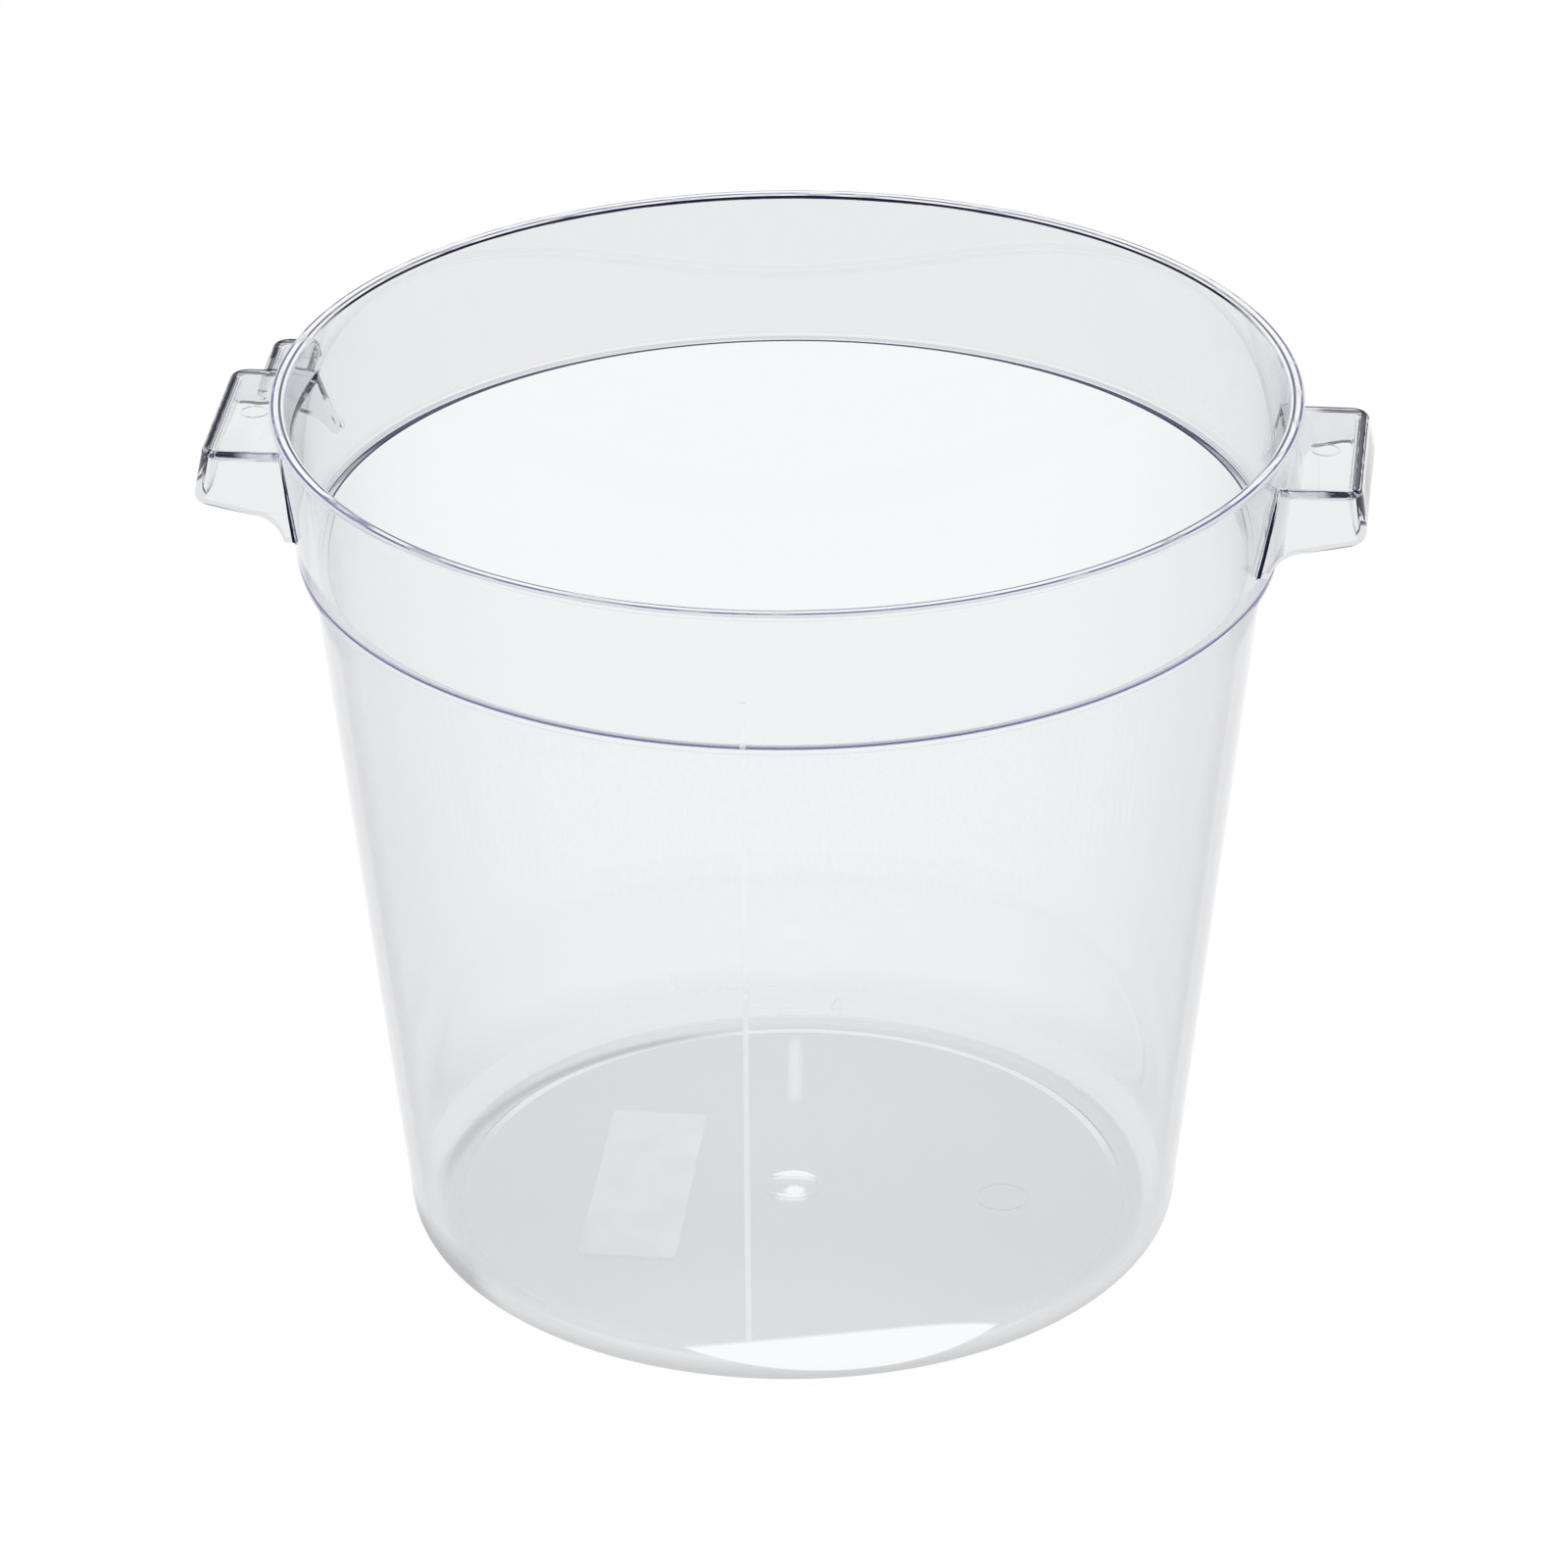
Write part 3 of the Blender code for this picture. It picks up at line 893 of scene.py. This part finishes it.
def length(vector):
    return vector.make("VectorMath", "Value", {0: vector}, operation="LENGTH")


def parts(vector):
    return [Signal(socket) for socket in add(vector.tree, "SeparateXYZ", {0: vector}).outputs]


def noise(place, settings):
    return place.make("TexNoise", "Fac", {"Vector": place, **settings})


def ramp(factor, stops):
    """A colour, or a grey where the stops hold one number each, that follows a factor."""
    node = add(factor.tree, "ValToRGB", {"Fac": factor})
    elements = node.color_ramp.elements
    while len(elements) < len(stops):
        elements.new(MIDDLE_SHARE)
    for element, (at, colour) in zip(elements, stops):
        if not isinstance(colour, tuple):
            colour = (colour, colour, colour)
        element.position = at
        element.color = (*colour, 1)
    return Signal(node.outputs["Color"])


def mix_values(factor, first, second):
    return factor.make("Mix", "Result", {"Factor": factor, "A": first, "B": second})


def mix_colours(factor, first, second):
    return factor.make("Mix", "Result", {"Factor": factor, "A": first, "B": second}, data_type="RGBA")


def lay_over(colour, amount, detail_colour, detail_amount):
    """Lays one layer of light over another. Gives back the colour of both together and how much they cover."""
    both = detail_amount + amount * opposite(detail_amount)
    part = detail_amount / larger(both, SMALLEST_SHARE)
    return mix_colours(part, colour, detail_colour), both


class Point:
    """Where and how a ray meets the plastic: the numbers that its looks are worked out from."""

    def __init__(self, tree):
        self.place = make(tree, "TexCoord", "Object")
        self.x, self.y, self.z = parts(self.place)
        self.flat = make(tree, "CombineXYZ", 0, {0: self.x, 1: self.y})
        self.radius = length(self.flat)
        self.cone = self.radius - self.z * DRAFT_SHARE
        self.beyond = self.cone - collar_radius(0)
        _, self.facing_y, self.facing_z = parts(make(tree, "NewGeometry", "True Normal"))
        self.inside = make(tree, "NewGeometry", "Backfacing")
        self.outside = opposite(self.inside)
        self.reflections = make(tree, "LightPath", "Glossy Depth")
        self.walls = make(tree, "LightPath", "Transmission Depth")
        self.run = make(tree, "LightPath", "Ray Length")
        self.flatness = make(tree, "LayerWeight", "Facing", {"Blend": MIDDLE_SHARE})
        self.streaks = noise(self.flat, STREAK_NOISE)
        self.fine = noise(self.place, FINE_NOISE)
        self.below_rim = below(self.z, HEIGHT - RIM_THICKNESS, RIM_THICKNESS)
        self.in_handle = above(self.beyond, ZONE_EDGE, FINE) * self.below_rim


def painted_junction_shade(at):
    """Painted shade: 1 in the narrow hollow where a handle's skirt meets the collar, seen straight from
    outside.
    """
    width = share(HANDLE_TOP - at.z, 0, SKIRT_INNER_DEPTH, *JUNCTION_WIDTHS)
    return every(
        above(at.beyond, JUNCTION_FROM, JUNCTION_FROM),
        above(width - at.beyond, 0, 2 * JUNCTION_FROM),
        above(abs(at.y), JUNCTION_SIDE),
        above(abs(at.x), JUNCTION_ALONG),
        below(at.z, HANDLE_TOP - HANDLE_EDGE, HANDLE_EDGE),
        at_most(at.walls, 0),
    )


def painted_step_shade(at):
    """Painted shade: how dark the inner ledge looks through the collar, just above the collar's lower edge."""
    start, end = STEP_LINE
    return every(
        ramp(share(at.z, STEP_HEIGHT + start, STEP_HEIGHT + end), STEP_SHADE_SHARES),
        at.outside,
        share(at.beyond, -STEP_ROUND, -STEP_LINE_IN_SHARE * STEP_ROUND),
    )


def painted_rim_lines(at):
    """Painted shade and highlights: fine dark and bright lines that run round the top of the rim, their
    colour, and how strong they are.
    """
    across = share(at.radius, collar_radius(HEIGHT) - WALL, collar_radius(HEIGHT) + RIM_OVERHANG)
    top = above(at.z, HEIGHT - RIM_LINE_DEPTH, RIM_LINE_SOFT)
    return ramp(across, RIM_SHADE_AND_GLINT_SHARES), every(top, at.outside, ramp(at.streaks, BROKEN_SHARES))


def painted_corner_shade(at):
    """Painted shade: 1 on the inner corner of the rim's top where it is seen from the front of its curve."""
    low, high = (HEIGHT - part * RIM_INNER_ROUND for part in CORNER_DEPTH_SHARES)
    return every(
        below(at.radius, collar_radius(HEIGHT) - WALL + CORNER_LINE, CORNER_LINE_SOFT),
        share(at.z, low, high),
        share(opposite(at.flatness), *CORNER_FACING_SHARES),
    )


def gate_glints(at):
    """Painted highlights: light gathered by the round gate under the middle of the floor, and a soft streak
    beyond it.
    """
    in_ring = below(at.radius, GATE_RING_RADIUS, GATE_SOFT)
    ends = larger(above(at.y, GATE_FAR), share(at.y, *GATE_NEAR))
    offset = at.flat.make("VectorMath", "Vector", {0: at.flat, 1: GATE_SPOT_AT}, operation="SUBTRACT")
    spot = share(length(offset), *GATE_SPOT)
    streak = every(
        share(abs(at.x + at.y * STREAK_LEAN_SHARE), *STREAK_HALF),
        share(at.y, *STREAK_NEAR),
        share(at.y, *STREAK_FAR),
        STREAK_SHARE,
    )
    return share(at.z, *ON_FLOOR) * larger(larger(in_ring * ends, spot), streak)


def heel_glint(at):
    """A painted reflection of a soft box in the curve of the heel: a flat crescent, rounded below."""
    along = (at.x / (at.y * -1) - CRESCENT_MIDDLE_SHARE) / CRESCENT_HALF_SHARE
    full = 1 - along * along
    lift = at.z - CRESCENT_HEIGHT
    return every(
        at.outside,
        below(at.y, CRESCENT_FROM),
        share(full, 0, CRESCENT_TIP_SHARE),
        above(lift - full * -CRESCENT_BELOW, 0, CRESCENT_LOW_SOFT),
        above(full * CRESCENT_ABOVE - lift, 0, CRESCENT_HIGH_SOFT),
        CRESCENT_SHARE,
    )


def wall_mark_highlight(at):
    """How much a painted highlight makes the marks on the wall look lighter."""
    return every(
        at.outside,
        share(at.cone - BASE_RADIUS, *MARK_RISE),
        above(at.z, HEEL_RADIUS),
        below(at.z, STEP_HEIGHT - MARK_TOP),
        MARK_HIGHLIGHT_SHARE,
    )


def collar_mark_highlight(at):
    """How much a painted highlight makes the upper end of the graduation look lighter, where it crosses the
    collar in front.
    """
    return every(
        at.outside,
        share(at.beyond, *MARK_RISE),
        share(abs(at.x), *COLLAR_MARK_SIDE),
        below(at.y, 0),
        below(at.z, SCALE_HIGH + COLLAR_MARK_ROOM),
        MARK_HIGHLIGHT_SHARE,
    )


def painted_foot_lines(at):
    """How much of a painted white highlight line and of a painted dark shade line the recess's edge shows at
    the back, seen through the floor.
    """
    under = every(at.inside, share(at.z, *LINES_LOW), share(at.y, *BACK))
    white = under * above(at.radius, WHITE_LINE_FROM, WHITE_LINE_SOFT) * below(at.radius, WHITE_LINE_TO, FINE)
    dark = under * above(at.radius, WHITE_LINE_TO - FINE / 2, FINE)
    return white, dark * below(at.radius, DARK_LINE_TO, DARK_LINE_SOFT) * DARK_LINE_SHARE


def painted_front_foot_shade(at):
    """How much the foot's bottom and inner edge are painted with the floor's shaded tone, at the front and
    sides.
    """
    inner = above(at.radius, FOOT_RADIUS - FOOT_IN, FOOT_SOFT)
    return every(at.inside, share(at.z, *FOOT_LOW), inner, share(at.y, *reversed(BACK)), FOOT_SHARE)


def painted_side_band_shade(at):
    """Painted shade: the dark band between the floor and the heel, on the left only, that runs out of the
    round.
    """
    middle = SIDE_BAND_RADIUS - at.y * SIDE_BAND_TURN_SHARE
    return every(
        at.outside,
        share(at.facing_z, *SIDE_BAND_FACING_SHARES),
        below(at.z, SIDE_BAND_TOP),
        share(at.x, *SIDE_BAND_X),
        share(at.y, *SIDE_BAND_Y),
        share(abs(at.radius - middle), *SIDE_BAND_HALF),
        SIDE_BAND_SHARE,
    )


def painted_inner_heel_light_and_shade(at):
    """The painted light and shade of the inner curve between the floor and the wall, and how much it shows."""
    amount = every(
        at.outside,
        share(at.facing_z, *INNER_HEEL_FACING_SHARES),
        above(at.z, FLOOR_TOP + INNER_HEEL_LIFT, FINE),
        below(at.z, FLOOR_TOP + INNER_HEEL_RADIUS),
        INNER_HEEL_SHARE,
    )
    in_body = below(at.radius, BASE_RADIUS + BODY_SOFT, BODY_SOFT)
    return mix_colours(share(at.y, *INNER_HEEL_FRONT), HEEL_PAINTED_TONE, FLOOR_SHADE_TONE), in_body * amount


def painted_outer_heel_shade(at):
    """The painted shade of the outer heel, darker towards the table and on the left, and how much it shows."""
    amount = every(
        at.outside,
        share(at.facing_z, *HEEL_FACING_SHARES),
        above(at.radius, FOOT_RADIUS + FOOT_WIDTH, FINE),
        below(at.z, HEEL_TOP_SHARE * HEEL_RADIUS, HEEL_RADIUS),
        HEEL_SHARE,
    )
    tone = ramp(share(at.z, 0, HEEL_RADIUS), HEEL_SHADE_SHARES)
    left = share(at.x, *DARK_HEEL_X) * share(at.y, *DARK_HEEL_Y)
    return mix_colours(left * share(at.flatness, *DARK_HEEL_FLAT_SHARES), tone, HEEL_DARKEST), amount


def outline(at):
    """The plate's outline beside a point: how far it is to its outer end and to its side."""
    sideways = abs(at.y)
    on_ledge = above(sideways, HANDLE_HALF_WIDTH + 2 * HANDLE_WALL)
    reach = mix_values(on_ledge, reach_of(HANDLE_PROJECTION), reach_of(LEDGE_PROJECTION))
    half = mix_values(on_ledge, HANDLE_HALF_WIDTH, HANDLE_HALF_WIDTH + LEDGE_LENGTH)
    return reach - abs(at.x), half - sideways


def across_edge(at):
    """0 at the outer corner of a skirt's lower edge and 1 at the inner corner, and 1 for the outer skirt."""
    from_end, from_side = outline(at)
    depth = HANDLE_TOP - HANDLE_EDGE - at.z
    from_end = from_end + depth * END_FLARE_SHARE
    from_side = from_side + depth * SIDE_FLARE_SHARE
    return depth.math("MINIMUM", from_end, from_side) / HANDLE_WALL, above(from_side - from_end, 0)


def painted_plate_shade(at):
    """Painted shade: dark, broken bands along the plate's edges, where one looks down into the skirts."""
    past_end, past_side = (larger(HANDLE_CORNER - left, 0) for left in outline(at))
    corner = at.x.make("CombineXYZ", 0, {0: past_end, 1: past_side})
    inward = HANDLE_CORNER - length(corner) + (at.fine - MIDDLE_SHARE) * BAND_WANDER
    near = below(at.y, 2 * HANDLE_WALL - HANDLE_HALF_WIDTH, HANDLE_WALL)
    band_to = share(near, 0, 1, *BAND_WIDTHS)
    band = every(
        at.outside,
        share(at.facing_z, *BAND_FACING_SHARES),
        above(inward, BAND_FROM, FINE),
        above(band_to - inward, 0, FINE),
        BAND_SHARE,
    )
    return at.in_handle * band


def painted_lower_shade_line(at):
    """Painted shade: 1 on a fine strip along a skirt's lower edge, where it is seen through the plate."""
    outwards = share(abs(at.x), reach_of(0), reach_of(HANDLE_PROJECTION))
    depth_there = share(outwards, 0, 1, SKIRT_INNER_DEPTH, SKIRT_OUTER_DEPTH)
    over_edge = depth_there - (HANDLE_TOP - at.z)
    return every(
        at.in_handle,
        share(abs(at.facing_z), *LOWER_FACING_SHARES),
        share(abs(at.facing_y), *reversed(LOWER_FACING_SHARES)),
        share(over_edge, *LOWER_LINE_TOP),
        share(over_edge, *LOWER_LINE_FOOT),
        share(outwards, *LOWER_ALONG_SHARES),
        at_least(at.walls, LINE_FROM_COUNT),
        at_most(at.walls, LINE_TO_COUNT),
    )


def tint_and_painted_shade(at):
    """The plastic's tint, with painted shade: darker in the handles, where a wall is seen at a flat angle, and
    on the collar's inner face.
    """
    tint = mix_colours(at.in_handle, PLASTIC_TINT, HANDLE_SHADE_TINT)
    wall = every(at.outside, opposite(at.in_handle), at.below_rim)
    wall = wall * share(at.z, STEP_HEIGHT, STEP_HEIGHT + SOFT, 1, COLLAR_GRAZING_SHADE_SHARE)
    flatness = mix_colours(wall, WHITE, ramp(at.flatness, GRAZING_SHADE_SHARES))
    inner_face = every(
        at.outside,
        share(at.beyond, -WALL / 2, -COLLAR_INNER_SHARE * WALL),
        above(at.z, STEP_HEIGHT + LEDGE_RISE, LEDGE_HOLLOW),
    )
    collar = share(inner_face, 0, 1, 1, COLLAR_BACK_SHADE_SHARE)
    inputs = {"Factor": 1, "A": tint, "B": flatness}
    both = tint.make("Mix", "Result", inputs, data_type="RGBA", blend_type="MULTIPLY")
    return tint.make("VectorMath", "Vector", {0: both, "Scale": collar}, operation="SCALE")


def painted_light_in_body(at):
    """Painted light for light reflected often inside the body: its colour, with violet streaks below the rim,
    and its amount.
    """
    in_step = above(at.z, STEP_HEIGHT - STEP_BELOW) * below(at.z, STEP_HEIGHT + STEP_ABOVE)
    often = share(at.reflections, BODY_REFLECTIONS - 1, BODY_REFLECTIONS)
    often = larger(often, share(at.reflections, STEP_REFLECTIONS - 1, STEP_REFLECTIONS) * in_step)
    bead = share(below(at.z, HEIGHT - RIM_THICKNESS, FINE), 0, 1, BEAD_SHARE)
    high = share(at.z, HEIGHT - STREAKS_TO, HEIGHT - STREAKS_FROM)
    colour = mix_colours(high, PALE_GREY, ramp(at.streaks, STREAK_SHARES))
    step_tone = mix_colours(share(at.y, -STEP_SIDE, STEP_SIDE), STEP_VIOLET, BACK_STEP)
    return mix_colours(in_step, colour, step_tone), often * bead


def painted_light_in_handle(at):
    """The same painted light and shade for a handle. A skirt seen down its length shows painted stripes of
    light and shade from its lower edge.
    """
    often = share(at.reflections, HANDLE_REFLECTIONS - 1, HANDLE_REFLECTIONS)
    often = often * share(at.fine, *HANDLE_GLINT_SHARES)
    long_run = share(at.run, *LONG_RUN)
    edge = every(
        below(at.z, HANDLE_TOP - 2 * HANDLE_WALL, HANDLE_WALL),
        share(abs(at.facing_z), *EDGE_FACING_SHARES),
        share(abs(at.facing_y), *EDGE_SIDE_SHARES),
        at.inside,
    )
    across, is_end = across_edge(at)
    stripes = mix_colours(is_end, ramp(across, SIDE_SHADE_STRIPE_SHARES), ramp(across, END_SHADE_STRIPE_SHARES))
    edge_colour = mix_colours(long_run, ramp(across, NEAR_EDGE_SHADE_SHARES), stripes)
    colour = mix_colours(edge, NAVY, edge_colour)
    near_collar = share(at.beyond, *LEG_CLEAR)
    colour = mix_colours(near_collar * opposite(edge), colour, LEG_SHADE_TONE)
    skirt = below(at.z, HANDLE_TOP - HANDLE_WALL, HANDLE_WALL)
    run = every(at.inside, long_run, below(at.z, HANDLE_TOP - RUN_DEPTH)) * opposite(skirt * near_collar)
    far_side = share(at.y, *FAR_EDGE, 1, FAR_EDGE_SHARE)
    behind = share(share(at.walls, *BEHIND_COUNTS), 0, 1, BEHIND_SHARE)
    return colour, larger(larger(often, run), edge * far_side) * behind


def new_tree(owner):
    owner.use_nodes = True
    return owner, owner.node_tree


def clear_plastic():
    """Clear plastic. Light that stays inside for long comes out coloured, painted on as an emission, with
    painted highlights and shade laid over it. Daylight passes on to the floor.
    """
    material, tree = new_tree(bpy.data.materials.new("clear_plastic"))
    shader = tree.nodes["Principled BSDF"]
    shader.inputs["Roughness"].default_value = 0
    shader.inputs["Transmission Weight"].default_value = 1
    shader.inputs["IOR"].default_value = REFRACTION
    at = Point(tree)
    tree.links.new(tint_and_painted_shade(at).socket, shader.inputs["Base Color"])
    body_colour, body_amount = painted_light_in_body(at)
    handle_colour, handle_amount = painted_light_in_handle(at)
    amount = mix_values(at.in_handle, body_amount, handle_amount)
    colour = mix_colours(at.in_handle, body_colour, handle_colour)
    foot_highlight_line, foot_shade_line = painted_foot_lines(at)
    # painted light and shade laid over it one after another, each a colour and how much of it shows
    details = [
        painted_rim_lines(at),
        (NAVY, painted_corner_shade(at)),
        (NAVY, painted_junction_shade(at)),
        (STEP_VIOLET, painted_step_shade(at)),
        (NAVY, painted_lower_shade_line(at)),
        (NAVY, painted_plate_shade(at)),
        (GLINT, gate_glints(at)),
        painted_outer_heel_shade(at),
        (GLINT, heel_glint(at)),
        (NEAR_WHITE, wall_mark_highlight(at)),
        (NEAR_WHITE, collar_mark_highlight(at)),
        painted_inner_heel_light_and_shade(at),
        (FLOOR_SHADE_TONE, painted_front_foot_shade(at)),
        (BAND_SHADE_TONE, painted_side_band_shade(at)),
        (SLATE, foot_shade_line),
        (GLINT, foot_highlight_line),
    ]
    for detail_colour, detail_amount in details:
        colour, amount = lay_over(colour, amount, detail_colour, detail_amount)
    caught = make(tree, "Emission", 0, {"Color": colour})
    seen = make(tree, "MixShader", 0, {0: amount, 1: Signal(shader.outputs[0]), 2: caught})
    through = make(tree, "BsdfTransparent", 0, {"Color": PLASTIC_TINT})
    daylight = larger(make(tree, "LightPath", "Is Shadow Ray"), make(tree, "LightPath", "Is Diffuse Ray"))
    both = make(tree, "MixShader", 0, {0: daylight, 1: seen, 2: through})
    tree.links.new(both.socket, tree.nodes["Material Output"].inputs["Surface"])
    return material


def paper():
    """Uncoated paper: a fine grain, faint cloudiness and a slightly uneven surface."""
    material, tree = new_tree(bpy.data.materials.new("label_paper"))
    shader = tree.nodes["Principled BSDF"]
    shader.inputs["Roughness"].default_value = PAPER_ROUGHNESS
    place = make(tree, "TexCoord", "Object")
    value = noise(place, CLOUDS) * CLOUD_SHARE + noise(place, GRAIN) * (1 - CLOUD_SHARE)
    tree.links.new(ramp(value, PAPER_SHARES).socket, shader.inputs["Base Color"])
    bump = make(tree, "Bump", "Normal", {"Height": value, **PAPER_BUMP})
    tree.links.new(bump.socket, shader.inputs["Normal"])
    return material


def label():
    """The sticker, its edges a little uneven as paper cut with a blade is."""
    middle = Vector((LABEL_X, LABEL_Y))
    half_width = LABEL_WIDTH / 2 - LABEL_CORNER
    half_length = LABEL_LENGTH / 2 - LABEL_CORNER
    even = []
    for i, (across, along) in enumerate([(1, -1), (1, 1), (-1, 1), (-1, -1)]):
        centre = (LABEL_X + across * half_width, LABEL_Y + along * half_length)
        start = (i - 1) * QUARTER
        even += [Vector(point) for point in arc(centre, LABEL_CORNER, start, start + QUARTER, ROUND_STEPS)]
    chance = random.Random(LABEL_SEED)
    ragged = []
    for here, there in zip(even, even[1:] + even[:1]):
        pieces = max(1, round((there - here).length / LABEL_EDGE_STEP))
        for j in range(pieces):
            out = here + (there - here) * j / pieces - middle
            inward = chance.uniform(0, LABEL_RAGGED) if pieces > 1 else 0
            ragged.append(middle + out * (1 - inward / out.length))
    top = RECESS_DEPTH - LABEL_GAP
    return stack("paper_label", [[(x, y, z) for x, y in ragged] for z in (top - LABEL_THICKNESS, top)])


def add_floor():
    """A pale floor. What the camera sees of it is nearly white, with a trace of the object's shadow."""
    corners = [(FLOOR_HALF * x, FLOOR_HALF * y, -FLOOR_DROP) for x, y in ((-1, -1), (1, -1), (1, 1), (-1, 1))]
    floor = make_object("floor", corners, [(0, 1, 2, 3)])
    material, tree = new_tree(bpy.data.materials.new("floor"))
    tree.nodes.clear()
    place = make(tree, "TexCoord", "Object")
    # seen through the plastic, the floor glows with a painted shadow under the base, lighter in front
    tone = ramp(length(place) / (2 * BASE_RADIUS), FLOOR_SHADOW_SHARES)
    tone = mix_colours(share(parts(place)[1], *FLOOR_FRONT) * FRONT_LIFT_SHARE, tone, SHADOW_NEAR_BASE)
    through = make(tree, "LightPath", "Is Transmission Ray")
    seen = larger(make(tree, "LightPath", "Is Glossy Ray"), through)
    seen = larger(make(tree, "LightPath", "Is Camera Ray"), seen)
    diffuse = make(tree, "BsdfDiffuse", 0, {"Color": FLOOR_GREY})
    glow = make(tree, "Emission", 0, {"Color": mix_colours(through, WHITE, tone)})
    add(tree, "OutputMaterial", {0: make(tree, "MixShader", 0, {0: seen * GLOW_SHARE, 1: diffuse, 2: glow})})
    floor.data.materials.append(material)


def add_world():
    """White all round for the camera, with a darker band that only reflections and clear walls show."""
    world = bpy.data.worlds.new("studio")
    bpy.context.scene.world = world
    tree = new_tree(world)[1]
    tree.nodes.clear()
    band = ramp(parts(make(tree, "TexCoord", "Generated"))[2], STUDIO_SHARES)
    colour = mix_colours(make(tree, "LightPath", "Is Camera Ray"), band, WHITE)
    add(tree, "OutputWorld", {0: make(tree, "Background", 0, {"Color": colour})})


def add_light():
    data = bpy.data.lights.new("daylight", "SUN")
    data.energy = SUN_STRENGTH
    data.angle = SUN_DISC
    lamp = link(bpy.data.objects.new("daylight", data))
    lamp.rotation_euler = SUN_TURN
    # the walls show the studio, not the lamp's wide disc
    lamp.visible_glossy = False
    lamp.visible_transmission = False


bpy.context.scene.view_settings.view_transform = "Standard"
add_camera()
container = build_container()
container.data.materials.clear()
container.data.materials.append(clear_plastic())
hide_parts("container")
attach(container, "root")
sticker = label()
sticker.data.materials.append(paper())
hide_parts("label")
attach(sticker, "root")
add_floor()
add_world()
add_light()
